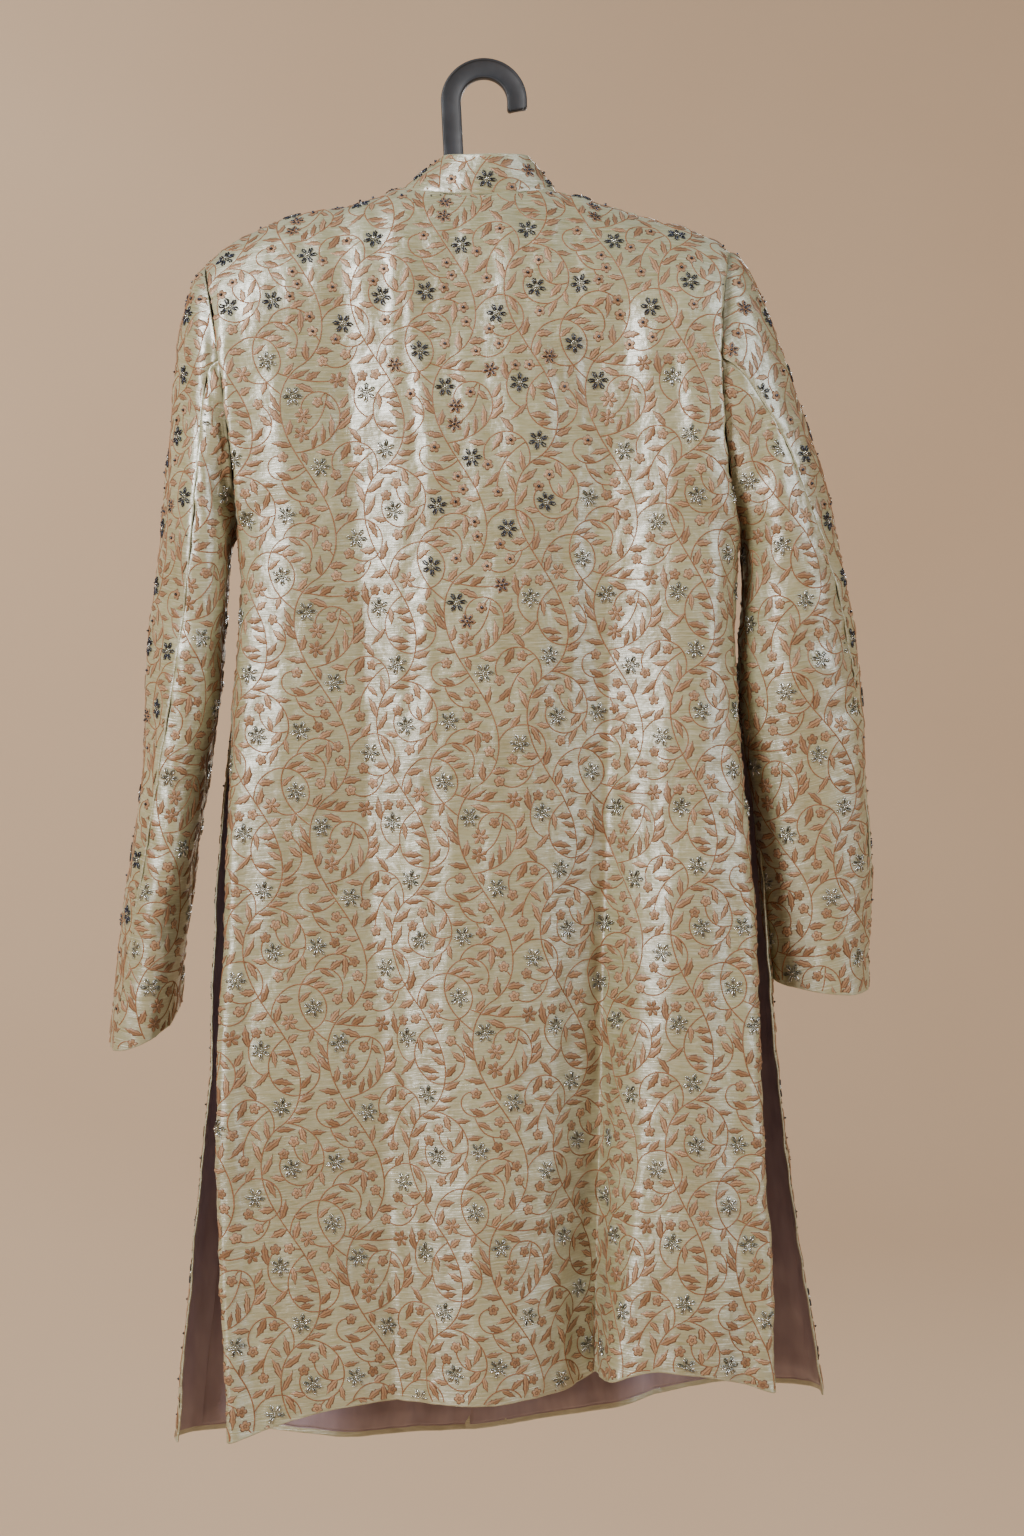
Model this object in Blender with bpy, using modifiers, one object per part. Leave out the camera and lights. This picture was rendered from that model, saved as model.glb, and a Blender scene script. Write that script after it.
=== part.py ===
"""Knee-length sherwani coat hanging on a moulded suit hanger.

Frame: metres, +Z up. The origin is the inside top of the hanger's hook, the point that
rests on whatever holds it. -Y faces out of the coat's back, +X runs towards the wearer's
right. Tables and sizes are in millimetres, and MM turns them to metres in the meshes.

Every cloth panel is a flat grid bent onto a surface worked out from the tables, then
given its wall by Solidify. Neighbouring panels read the same seam curves.
"""

import math
from typing import NamedTuple

import bmesh
import bpy
import numpy as np

MM = 0.001

# Walls and gaps
CLOTH_WALL = 1.6  # embroidered silk with its canvas
COLLAR_WALL = 2.4
LINING_WALL = 1.0
SEAM_GAP = 0.3
SEAM_PULL = 0.45  # each panel's edge stays this far back from the seam line
SLEEVE_SEAM_PULL = 0.65  # more round a sleeve's narrow edges
SLEEVE_LENGTH_GAP = 1.0  # between the lengths of a top sleeve, whose walls lean together
ARMHOLE_PULL = 0.8  # and where the sleeve head turns away from the shoulder

# Neck seam, cut out of the shoulders' own surface
NECK_CENTRE_X = -5.0
NECK_HALF_WIDTH = 68.0
NECK_POINT_Z = -99.0
NECK_RIDGE_RISE = 11.0  # how much higher the shoulder line would run without a neck
NECK_BACK_DIP = 10.5
NECK_FRONT_DROP = 61.0
NECK_FRONT_SHAPE = 1.6

# Collar top edge
COLLAR_CENTRE_X = 1.5
COLLAR_HALF_WIDTH = 39.0
COLLAR_BACK_Y = -33.0
COLLAR_FRONT_Y = 40.0
COLLAR_BACK_Z = -73.5
COLLAR_SIDE_RISE = 4.0
COLLAR_FRONT_DROP = 50.0
COLLAR_LIFT = 1.0  # its foot stands this far above the neck seam
COLLAR_END_DEG = 176.0  # the two ends stop short of each other at the centre front

# Shoulders
RIDGE_FALL = 85.0  # height over which the cloth turns from the shoulder seam to its full depth
SHOULDER_ROWS = 5  # rows over that height, even in angle
SIDE_ROUNDING = 3.0  # exponent of the super-ellipse that a level section follows
SLIT_TOP_Z = -535.0

# Folds
FOLD_FADE = 60.0  # a fold fades in over this much to each side of its top
FOLD_DEEPENING = 1.5  # exponent with which it deepens downwards
FOLD_PROFILE = 1.6  # exponent of its rounded section
FOLD_FREE_EDGE = 0.12  # share of the half width, next to a side edge, where folds die out

# Front closure
LAP = 20.0  # each front passes the centre line by this much
LAP_RISE = CLOTH_WALL + SEAM_GAP  # the wearer's left front lies on the right one
LAP_EASE = 30.0
CENTRE_TOP_X = -5.0
CENTRE_FOOT_X = 3.0
BUTTON_COUNT = 7
BUTTON_TOP_Z = -190.0
BUTTON_PITCH = 70.0
BUTTON_RADIUS = 8.0
BUTTON_HEIGHT = 6.5
BUTTON_UNDERSIDE = 0.75  # share of its radius at which the dome turns under
BUTTON_SHANK_RADIUS = 2.5
BUTTON_SHANK_HEIGHT = 1.5

# Front lining, kept inside the shell's edges
LINING_EDGE = 7.0
LINING_HEM = 12.0

# Hanger
HOOK_INNER_RADIUS = 20.2
HOOK_BAND = 17.5
HOOK_THICKNESS = 9.0
HOOK_TIP = 8.0
HOOK_EDGE = 1.2
SHANK_FOOT_Z = -104.8  # on the hub
SHANK_BEND_Z = -66.0
SHANK_LEAN = 2.3
ARM_LEFT_X = -226.0
ARM_RIGHT_X = 198.0
ARM_END_ROUNDING = 10.0
HUB_DIP = 5.0  # the hub's top lies this far under the line of the arms
ARM_CLEAR = 1.5  # under the shoulder seam's wall


class Armhole(NamedTuple):
    """A sleeve seam: its shoulder and underarm points, half its depth and its inward bow."""

    top_x: float
    top_z: float
    under_x: float
    under_z: float
    half_y: float
    bow: float


class ShoulderPoint(NamedTuple):
    """Height of the shoulder seam at one place across."""

    x: float
    z: float


class BodyDepth(NamedTuple):
    """How far the body stands out at one height, at the middle and at its side edges."""

    z: float
    back_y: float
    front_y: float
    back_edge_y: float
    front_edge_y: float


class SideEdge(NamedTuple):
    """Where the side seams, and below them the slit edges, lie at one height."""

    z: float
    back_left_x: float
    back_right_x: float
    front_left_x: float
    front_right_x: float


class HemPoint(NamedTuple):
    """The hem's height at one place across."""

    x: float
    z: float


class Fold(NamedTuple):
    """A soft trough (depth over 0) or ridge (under 0) that runs down a panel."""

    top_x: float
    top_z: float
    foot_x: float
    foot_z: float
    top_depth: float
    foot_depth: float
    spread_left: float
    spread_right: float


class SleeveRing(NamedTuple):
    """One section of a sleeve: its inner and outer points, its depth and its seam.

    bow moves its front and back towards the body, lift raises its front, turn swings it
    about the vertical, and seam_deg is where the hindarm seam crosses it, from the outer
    point towards the back.
    """

    inner_x: float
    inner_z: float
    outer_x: float
    outer_z: float
    mid_y: float
    half_y: float
    bow: float
    lift: float
    turn: float
    seam_deg: float


class ArmSection(NamedTuple):
    """The hanger's arm at one place across: half its depth and half its height."""

    x: float
    half_y: float
    half_z: float


SHOULDERS = {
    "left": (
        ShoulderPoint(-244.0, -162.0),
        ShoulderPoint(-217.0, -142.5),
        ShoulderPoint(-174.0, -125.0),
        ShoulderPoint(-104.0, -107.5),
        ShoulderPoint(-73.0, -99.0),
    ),
    "right": (
        ShoulderPoint(63.0, -99.0),
        ShoulderPoint(90.0, -106.5),
        ShoulderPoint(145.0, -123.0),
        ShoulderPoint(198.0, -141.5),
        ShoulderPoint(213.0, -151.0),
    ),
}

ARMHOLES = {
    "left": Armhole(-244.0, -162.0, -213.0, -397.0, 52.0, 7.0),
    "right": Armhole(213.0, -151.0, 222.0, -399.0, 52.0, -14.0),
}

BODY_DEPTHS = (
    BodyDepth(-100.0, -58.0, 48.0, 0.0, 0.0),
    BodyDepth(-200.0, -66.0, 58.0, 0.0, 0.0),
    BodyDepth(-300.0, -72.0, 66.0, 0.0, 0.0),
    BodyDepth(-400.0, -72.0, 68.0, -4.0, -4.0),
    BodyDepth(-535.0, -68.0, 64.0, -7.0, -5.0),
    BodyDepth(-600.0, -67.0, 62.0, -16.0, -10.0),
    BodyDepth(-700.0, -66.0, 60.0, -28.0, -19.0),
    BodyDepth(-860.0, -68.0, 57.0, -45.0, -27.0),
    BodyDepth(-1010.0, -74.0, 53.0, -58.0, -30.0),
    BodyDepth(-1200.0, -80.0, 50.0, -68.0, -30.0),
)

SIDE_EDGES = (
    SideEdge(-397.0, -213.0, 222.0, -213.0, 222.0),
    SideEdge(-450.0, -210.0, 217.0, -210.0, 217.0),
    SideEdge(-500.0, -213.0, 216.0, -213.0, 216.0),
    SideEdge(-535.0, -216.0, 218.0, -216.0, 218.0),
    SideEdge(-595.0, -217.0, 222.0, -226.0, 231.0),
    SideEdge(-680.0, -221.0, 230.0, -231.0, 238.0),
    SideEdge(-765.0, -224.0, 235.0, -235.0, 246.0),
    SideEdge(-860.0, -227.0, 237.0, -238.0, 255.0),
    SideEdge(-935.0, -227.0, 241.0, -246.0, 266.0),
    SideEdge(-1010.0, -224.0, 245.0, -255.0, 278.0),
    SideEdge(-1125.0, -218.0, 247.0, -266.0, 296.0),
    SideEdge(-1200.0, -214.0, 247.0, -273.0, 304.0),
)

BACK_HEM = (
    HemPoint(-216.0, -1173.0),
    HemPoint(-142.0, -1152.0),
    HemPoint(-60.0, -1144.0),
    HemPoint(30.0, -1142.0),
    HemPoint(80.0, -1135.0),
    HemPoint(112.0, -1120.0),
    HemPoint(135.0, -1112.0),
    HemPoint(182.0, -1114.0),
    HemPoint(247.0, -1131.0),
)

FRONT_HEM = (
    HemPoint(-272.0, -1189.0),
    HemPoint(-20.0, -1195.0),
    HemPoint(60.0, -1184.0),
    HemPoint(145.0, -1162.0),
    HemPoint(215.0, -1152.0),
    HemPoint(300.0, -1148.0),
)

BACK_FOLDS = (
    Fold(-114.0, -215.0, -76.0, -1150.0, 9.0, 13.0, 40.0, 17.0),
    Fold(88.0, -400.0, 106.0, -1127.0, 2.0, 68.0, 42.0, 6.0),
    Fold(-165.0, -330.0, -160.0, -1160.0, -4.0, -6.0, 34.0, 34.0),
    Fold(178.0, -260.0, 170.0, -1120.0, -3.0, -9.0, 36.0, 40.0),
    Fold(30.0, -700.0, -6.0, -1144.0, 2.0, -8.0, 46.0, 46.0),
    Fold(200.0, -560.0, 226.0, -1125.0, 1.0, 7.0, 18.0, 16.0),
)

FRONT_FOLDS = (
    Fold(-118.0, -300.0, -128.0, -1190.0, 4.0, 13.0, 30.0, 34.0),
    Fold(104.0, -330.0, 122.0, -1170.0, 4.0, 22.0, 32.0, 28.0),
    Fold(-60.0, -620.0, -58.0, -1193.0, -1.0, -9.0, 34.0, 34.0),
    Fold(60.0, -560.0, 52.0, -1185.0, -1.0, -8.0, 34.0, 34.0),
    Fold(-190.0, -600.0, -206.0, -1190.0, -2.0, -10.0, 30.0, 30.0),
    Fold(190.0, -600.0, 214.0, -1155.0, -2.0, -11.0, 30.0, 30.0),
)

SLEEVES = {
    "left": (
        SleeveRing(-213.0, -397.0, -244.0, -162.0, 0.0, 52.0, 7.0, 0.0, 0.0, 78.0),
        SleeveRing(-216.0, -402.0, -253.0, -173.0, 0.0, 56.0, 5.0, 0.0, 0.0, 78.0),
        SleeveRing(-218.5, -409.0, -262.0, -207.0, 0.0, 60.0, 3.0, 0.0, 3.0, 78.0),
        SleeveRing(-220.0, -418.0, -268.0, -250.0, 0.0, 62.0, 1.0, 0.0, 6.0, 77.0),
        SleeveRing(-221.0, -431.0, -273.0, -300.0, 0.0, 63.0, 0.0, 1.0, 8.0, 77.0),
        SleeveRing(-222.5, -449.0, -279.0, -355.0, 0.0, 63.0, 0.0, 2.0, 10.0, 76.0),
        SleeveRing(-225.0, -474.0, -284.0, -412.0, 1.0, 62.0, 0.0, 3.0, 10.0, 76.0),
        SleeveRing(-228.0, -505.0, -288.5, -465.0, 3.0, 60.0, 0.0, 4.0, 9.0, 73.0),
        SleeveRing(-232.0, -548.0, -293.5, -528.0, 6.0, 58.0, 0.0, 6.0, 8.0, 68.0),
        SleeveRing(-243.0, -607.0, -301.0, -601.0, 11.0, 56.0, 0.0, 9.0, 6.0, 62.0),
        SleeveRing(-254.5, -680.0, -310.5, -682.0, 18.0, 54.0, 0.0, 12.0, 4.0, 56.0),
        SleeveRing(-263.0, -750.0, -320.0, -760.0, 26.0, 53.0, 0.0, 14.0, 2.0, 50.0),
        SleeveRing(-270.0, -815.0, -331.5, -842.0, 34.0, 52.0, 0.0, 15.0, 0.0, 46.0),
    ),
    "right": (
        SleeveRing(222.0, -399.0, 213.0, -151.0, 0.0, 52.0, -14.0, 0.0, 0.0, 80.0),
        SleeveRing(224.0, -404.0, 225.0, -160.0, 0.0, 56.0, -10.0, 0.0, 0.0, 80.0),
        SleeveRing(226.0, -411.0, 242.0, -191.0, 0.0, 59.0, -5.0, 0.0, 0.0, 78.0),
        SleeveRing(227.0, -420.0, 258.0, -232.0, 0.0, 59.0, -2.0, 0.0, 0.0, 74.0),
        SleeveRing(227.5, -433.0, 274.0, -281.0, 0.0, 58.0, 0.0, 0.0, 0.0, 66.0),
        SleeveRing(227.0, -452.0, 290.0, -330.0, 0.0, 57.0, 0.0, 1.0, -2.0, 58.0),
        SleeveRing(226.5, -478.0, 303.0, -377.0, 1.0, 56.0, 0.0, 2.0, -4.0, 48.0),
        SleeveRing(227.0, -514.0, 315.0, -435.0, 3.0, 54.0, 0.0, 3.0, -4.0, 36.0),
        SleeveRing(229.5, -562.0, 326.0, -508.0, 6.0, 50.0, 0.0, 4.0, -3.0, 26.0),
        SleeveRing(236.5, -612.0, 334.0, -578.0, 10.0, 46.0, 0.0, 5.0, -2.0, 20.0),
        SleeveRing(242.0, -664.0, 338.5, -645.0, 15.0, 42.0, 0.0, 6.0, 0.0, 17.0),
        SleeveRing(247.0, -724.0, 340.5, -718.0, 21.0, 38.0, 0.0, 7.0, 0.0, 15.0),
        SleeveRing(251.5, -785.0, 340.5, -796.0, 26.0, 36.0, 0.0, 8.0, 0.0, 13.0),
    ),
}
FOREARM_SEAM_DEG = -100.0
SLEEVE_RADIUS = 40.0  # about half way between a sleeve's half width and half depth

ARM_SECTIONS = (
    ArmSection(-226.0, 21.0, 14.5),
    ArmSection(-150.0, 20.0, 14.5),
    ArmSection(-80.0, 14.0, 13.0),
    ArmSection(-40.0, 11.0, 14.0),
    ArmSection(0.0, 10.0, 16.0),
    ArmSection(40.0, 11.0, 14.0),
    ArmSection(80.0, 14.0, 13.0),
    ArmSection(130.0, 20.0, 14.5),
    ArmSection(198.0, 21.0, 14.5),
)

# Grid counts
BACK_ROWS = 20  # below the shoulder's turn
FRONT_ROWS = 7  # from there to the slits
LINING_ROWS = 12  # below them, with one more row to the hem
LINING_FACING_COLUMNS = 5  # columns inside the left front's edge that stay clear of the right one
SHOULDER_COLUMNS = 11
NECK_STEP_DEG = 15
FOLD_STATIONS = np.array([67.0, 70.0, 73.0, 76.0, 80.0, 86.0, 96.0])  # over the back's deep fold
SLEEVE_GRID = (10, 20)  # columns, rows
SLEEVE_CROWDING = 1.15
TOP_SLEEVE_CUTS = {"cuff": (0, 7), "elbow": (7, 14), "head": (14, 20)}  # rows of its three lengths
RING_PITCH = 12.0  # from a sleeve's seam to its second ring
COLLAR_ROWS = 2


def clear_scene():
    """Removes whatever the scene holds."""
    for old in list(bpy.data.objects):
        bpy.data.objects.remove(old, do_unlink=True)


def column(table, name):
    """One named column of a table as an array."""
    return np.array([getattr(row, name) for row in table])


def smooth(at, knots, values):
    """A cubic through the knots whose slope at each knot comes from its neighbours."""
    slopes = np.gradient(values, knots)
    i = np.clip(np.searchsorted(knots, at, side="right") - 1, 0, len(knots) - 2)
    span = knots[i + 1] - knots[i]
    t = np.clip((at - knots[i]) / span, 0.0, 1.0)
    return (
        (2 * t**3 - 3 * t**2 + 1) * values[i]
        + (t**3 - 2 * t**2 + t) * span * slopes[i]
        + (3 * t**2 - 2 * t**3) * values[i + 1]
        + (t**3 - t**2) * span * slopes[i + 1]
    )


def read(table, key, name, at):
    """The table's column name at the given values of its column key, in rising or falling order."""
    knots, values = column(table, key), column(table, name)
    order = np.argsort(knots)
    return smooth(at, knots[order], values[order])


def ease(t):
    """0 to 1 with level ends."""
    t = np.clip(t, 0.0, 1.0)
    return t * t * (3 - 2 * t)


def neck_round(x):
    """1 at the middle of the neck and 0 from its shoulder points outwards, as a circle falls."""
    return np.sqrt(1 - np.clip((x - NECK_CENTRE_X) / NECK_HALF_WIDTH, -1.0, 1.0) ** 2)


def ridge_z(x):
    """Height of the shoulder line, which runs on over the neck as if none were cut."""
    left = read(SHOULDERS["left"], "x", "z", x)
    right = read(SHOULDERS["right"], "x", "z", x)
    over_neck = NECK_POINT_Z + NECK_RIDGE_RISE * neck_round(x) ** 2
    past = x - NECK_CENTRE_X
    return np.where(np.abs(past) < NECK_HALF_WIDTH, over_neck, np.where(past < 0, left, right))


def top_z(facing, x):
    """Height of a panel's top edge: the shoulder seams, with the neck seam between them."""
    c = neck_round(x)
    if facing == "back":
        neck = NECK_POINT_Z - NECK_BACK_DIP * c**2
    else:
        neck = NECK_POINT_Z - NECK_FRONT_DROP * c**NECK_FRONT_SHAPE
    return np.where(c > 0, neck, ridge_z(x))


def middle_y(facing, ridge, z):
    """How far a panel stands out at its middle: a quarter round from the ridge to full depth."""
    turn = np.clip((ridge - z) / RIDGE_FALL, 0.0, 1.0)
    rounding = np.sqrt(1 - (1 - turn) ** 2)
    return read(BODY_DEPTHS, "z", f"{facing}_y", z) * rounding, rounding


def armhole_seam(armhole, z):
    """(x, half depth) of a sleeve seam at height z, above its underarm point."""
    share = np.clip((armhole.top_z - z) / (armhole.top_z - armhole.under_z), 0.0, 1.0)
    across = 2 * np.sqrt(share * (1 - share))
    x = armhole.top_x + (armhole.under_x - armhole.top_x) * share + armhole.bow * across**2
    return x, armhole.half_y * across


def side_edge(facing, side, z):
    """(x, y) of a panel's side edge at height z: armhole, then side seam, then slit edge."""
    armhole = ARMHOLES[side]
    outward = -1.0 if facing == "back" else 1.0
    seam_x, seam_y = armhole_seam(armhole, z)
    free_x = read(SIDE_EDGES, "z", f"{facing}_{side}_x", z)
    free_y = read(BODY_DEPTHS, "z", f"{facing}_edge_y", z)
    under_y = read(BODY_DEPTHS, "z", f"{facing}_edge_y", np.array(armhole.under_z))
    share = np.clip((armhole.top_z - z) / (armhole.top_z - armhole.under_z), 0.0, 1.0)
    above = z > armhole.under_z
    return (
        np.where(above, seam_x, free_x),
        np.where(above, outward * seam_y + under_y * share, free_y),
    )


def fold_depth(folds, x, z):
    """How far all the folds move the cloth inwards at (x, z)."""
    total = np.zeros_like(x)
    for fold in folds:
        t = np.clip((fold.top_z - z) / (fold.top_z - fold.foot_z), 0.0, 1.0)
        centre = fold.top_x + (fold.foot_x - fold.top_x) * t
        depth = fold.top_depth + (fold.foot_depth - fold.top_depth) * t**FOLD_DEEPENING
        away = x - centre
        spread = np.where(away < 0, fold.spread_left, fold.spread_right)
        fade_in = ease((fold.top_z + FOLD_FADE - z) / (2 * FOLD_FADE))
        total += depth * fade_in * np.exp(-(np.abs(away / spread) ** FOLD_PROFILE))
    return total


def level_edges(facing, fall):
    """(left x, left y, right x, right y) of a panel's side edges at a share of their fall."""
    found = []
    for side, armhole in ARMHOLES.items():
        z = armhole.top_z + (hem_z(facing, side) - armhole.top_z) * fall
        found.extend(side_edge(facing, side, z))
    return found


def between(low, high, across):
    """The value at across from -1 to 1 between two values."""
    return low + (high - low) * (1 + across) / 2


def panel_point(facing, across, fall):
    """Points of the back or of both fronts as one sheet.

    across runs from -1 at the left edge to 1 at the right, and fall from 0 at the top
    edge to 1 at the hem. A level section is a super-ellipse between the side edges.
    """
    left_x, left_y, right_x, right_y = level_edges(facing, fall)
    x = between(left_x, right_x, across)
    edge_y = between(left_y, right_y, across)
    top_x = between(ARMHOLES["left"].top_x, ARMHOLES["right"].top_x, across)
    foot_x = between(corner_x(facing, "left"), corner_x(facing, "right"), across)
    hem = BACK_HEM if facing == "back" else FRONT_HEM
    top = top_z(facing, top_x)
    z = top + (read(hem, "x", "z", foot_x) - top) * fall
    outward = -1.0 if facing == "back" else 1.0
    full_y, rounding = middle_y(facing, ridge_z(top_x), z)
    bulge = (1 - np.abs(across) ** SIDE_ROUNDING) ** (1 / SIDE_ROUNDING)
    y = edge_y + bulge * (full_y - edge_y) + outward * SEAM_PULL
    folds = BACK_FOLDS if facing == "back" else FRONT_FOLDS
    edge_hold = ease((1 - np.abs(across)) / FOLD_FREE_EDGE)
    y = y - outward * fold_depth(folds, x, z) * edge_hold * rounding
    return np.stack([x, y, z], axis=-1)


def centre_x(fall):
    """The centre front line, which hangs slightly off plumb."""
    return CENTRE_TOP_X + (CENTRE_FOOT_X - CENTRE_TOP_X) * fall


def front_across(side, x_past_centre, share, fall):
    """The across value a share of the way from a front's side edge to a line by the centre."""
    left_x, _, right_x, _ = level_edges("front", fall)
    outer = left_x if side == "left" else right_x
    x = outer + (centre_x(fall) + x_past_centre - outer) * share
    return 2 * (x - left_x) / (right_x - left_x) - 1


def corner_x(facing, side):
    """Where a panel's side edge meets its hem."""
    edge = SIDE_EDGES[-2]
    return getattr(edge, f"{facing}_{side}_x")


def hem_z(facing, side):
    """Height of a panel's hem corner."""
    hem = BACK_HEM if facing == "back" else FRONT_HEM
    return hem[0].z if side == "left" else hem[-1].z


def sleeve_point(side, angle, ring):
    """Points of a sleeve: angle in radians from its outer line towards its back, ring a row number."""
    rows = SLEEVES[side]
    knots = np.arange(len(rows), dtype=float)
    r = {name: smooth(ring, knots, column(rows, name)) for name in SleeveRing._fields}
    cos, sin = np.cos(angle), np.sin(angle)
    half_x = (r["outer_x"] - r["inner_x"]) / 2
    half_z = (r["outer_z"] - r["inner_z"]) / 2
    turn = np.radians(r["turn"])
    off_x = half_x * cos
    off_y = -r["half_y"] * sin
    x = (r["inner_x"] + r["outer_x"]) / 2 + off_x * np.cos(turn) - off_y * np.sin(turn)
    y = r["mid_y"] + off_x * np.sin(turn) + off_y * np.cos(turn)
    z = (r["inner_z"] + r["outer_z"]) / 2 + half_z * cos - r["lift"] * sin
    return np.stack([x + r["bow"] * sin * sin, y, z], axis=-1)


def collar_point(angle, rise):
    """Points of the stand collar: angle in radians from the centre back, rise 0 at the neck seam."""
    sin, cos = np.sin(angle), np.cos(angle)
    base_x = NECK_CENTRE_X + NECK_HALF_WIDTH * sin
    ridge = ridge_z(base_x)
    back_z, front_z = top_z("back", base_x), top_z("front", base_x)
    at_back = cos >= 0
    base_z = np.where(at_back, back_z, front_z)
    base_y = np.where(
        at_back,
        middle_y("back", ridge, back_z)[0] - SEAM_PULL,
        middle_y("front", ridge, front_z)[0] + SEAM_PULL,
    )
    top_x = COLLAR_CENTRE_X + COLLAR_HALF_WIDTH * sin
    top_y = np.where(at_back, COLLAR_BACK_Y, -COLLAR_FRONT_Y) * cos
    fall = COLLAR_FRONT_DROP * np.clip(-cos, 0.0, 1.0) ** NECK_FRONT_SHAPE
    edge_z = COLLAR_BACK_Z + COLLAR_SIDE_RISE * sin**2 - fall
    return np.stack(
        [
            base_x + (top_x - base_x) * rise,
            base_y + (top_y - base_y) * rise,
            base_z + (edge_z - base_z) * rise,
        ],
        axis=-1,
    )


def material(name, colour, roughness, metallic=0.0):
    """A Principled finish with one colour."""
    made = bpy.data.materials.new(name)
    made.use_nodes = True
    shader = made.node_tree.nodes["Principled BSDF"]
    shader.inputs["Base Color"].default_value = (*colour, 1.0)
    shader.inputs["Roughness"].default_value = roughness
    shader.inputs["Metallic"].default_value = metallic
    return made


def add_object(name, data, finish, collection):
    """Links a new object with its finish."""
    made = bpy.data.objects.new(name, data)
    data.materials.append(finish)
    collection.objects.link(made)
    return made


def bent_grid(name, points, wall, finish, collection):
    """A flat grid bent onto points[row, column], rows rising, with its wall inside it."""
    rows, columns = points.shape[0] - 1, points.shape[1] - 1
    bm = bmesh.new()
    bmesh.ops.create_grid(bm, x_segments=columns, y_segments=rows, size=0.5)
    flat = np.array([vertex.co.xy for vertex in bm.verts]) + 0.5
    cell = np.rint(flat * (columns, rows)).astype(int)
    for vertex, point in zip(bm.verts, points[cell[:, 1], cell[:, 0]] * MM):
        vertex.co = point
    mesh = bpy.data.meshes.new(name)
    bm.to_mesh(mesh)
    bm.free()
    made = add_object(name, mesh, finish, collection)
    made.data.shade_smooth()
    cloth = made.modifiers.new("Wall", "SOLIDIFY")
    cloth.thickness = wall * MM
    cloth.offset = -1.0
    cloth.use_even_offset = True
    cloth.use_quality_normals = True
    return made


def grid_normals(points):
    """Unit normals of points[row, column], out of the face that bent_grid turns outwards."""
    normal = np.cross(np.gradient(points, axis=1), np.gradient(points, axis=0))
    return normal / np.linalg.norm(normal, axis=-1, keepdims=True)


def crowded(start, end, count):
    """count steps from start to end that crowd towards start."""
    t = np.linspace(0.0, 1.0, count + 1)
    return start + (end - start) * (1 - np.cos(t * math.pi / 2))


def neck_x(degrees):
    """Place across of the neck seam at angles from the centre back."""
    return NECK_CENTRE_X + NECK_HALF_WIDTH * np.sin(np.radians(degrees))


def top_stations(facing, side):
    """Places across a panel's top edge: crowded at the armhole, even in angle round the neck."""
    pull = {"left": SEAM_PULL, "right": -SEAM_PULL}
    edge = {s: ARMHOLES[s].top_x + pull[s] for s in ARMHOLES}
    if facing == "back":
        neck = neck_x(np.arange(-90, 91, NECK_STEP_DEG))
        left = crowded(edge["left"], neck[0], SHOULDER_COLUMNS)
        right = crowded(edge["right"], FOLD_STATIONS[-1], SHOULDER_COLUMNS - 2)[::-1]
        return np.concatenate([left[:-1], neck, FOLD_STATIONS, right[1:]])
    sign = -1.0 if side == "left" else 1.0
    neck = neck_x(sign * np.arange(90, 151, NECK_STEP_DEG))
    outer = crowded(edge[side], neck[0], SHOULDER_COLUMNS)
    lap = np.array([LAP, LAP - LINING_EDGE, 0.0, LINING_EDGE - LAP, -LAP])
    return np.concatenate([outer[:-1], neck, CENTRE_TOP_X + sign * lap])


def shoulder_rows(drop):
    """Shares of fall over the shoulder's turn, from the top edge down, even in angle."""
    return RIDGE_FALL * (1 - np.cos(np.linspace(0.0, math.pi / 2, SHOULDER_ROWS + 1))) / drop


def back_grid():
    """The back's outer points, cut in one piece."""
    stations = top_stations("back", None)
    left, right = ARMHOLES["left"].top_x, ARMHOLES["right"].top_x
    turn = shoulder_rows(ARMHOLES["left"].top_z - hem_z("back", "left"))
    rows = np.concatenate([np.linspace(1.0, turn[-1], BACK_ROWS + 1), turn[-2::-1]])
    fall, x = np.meshgrid(rows, stations, indexing="ij")
    return panel_point("back", 2 * (x - left) / (right - left) - 1, fall)


def front_rows(side):
    """Shares of fall of a front's rows from the hem up, with one at each end of the lining."""
    drop = ARMHOLES[side].top_z - hem_z("front", side)
    slit = (ARMHOLES[side].top_z - SLIT_TOP_Z) / drop
    turn = shoulder_rows(drop)
    lining = np.linspace(1 - LINING_HEM / drop, slit, LINING_ROWS + 1)
    above = np.linspace(slit, turn[-1], FRONT_ROWS + 1)
    return np.concatenate([[1.0], lining, above[1:], turn[-2::-1]])


def front_grid(side):
    """A front's outer points, from its side seam to its edge past the centre line."""
    outer = ARMHOLES[side].top_x
    past = LAP if side == "left" else -LAP
    fall, x = np.meshgrid(front_rows(side), top_stations("front", side), indexing="ij")
    share = (x - outer) / (CENTRE_TOP_X + past - outer)
    points = panel_point("front", front_across(side, past, share, fall), fall)
    points[..., 1] += lap_rise(side, points, fall)
    return points[:, ::-1] if side == "left" else points


def lap_rise(side, points, fall):
    """How far the wearer's left front stands out where it lies on the right one."""
    if side == "right":
        return 0.0
    return LAP_RISE * ease((points[..., 0] - centre_x(fall) + LAP + LAP_EASE) / LAP_EASE)


def lining_grid(side):
    """Points of the lining that shows inside a front, its own points moved in."""
    front = front_grid(side)
    moved = front - (CLOTH_WALL + SEAM_GAP) * grid_normals(front)
    columns = front.shape[1] - 1
    if side == "left":
        kept = slice(LINING_FACING_COLUMNS, columns)
    else:
        kept = slice(1, columns)
    return moved[1 : LINING_ROWS + 2, kept]


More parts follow.
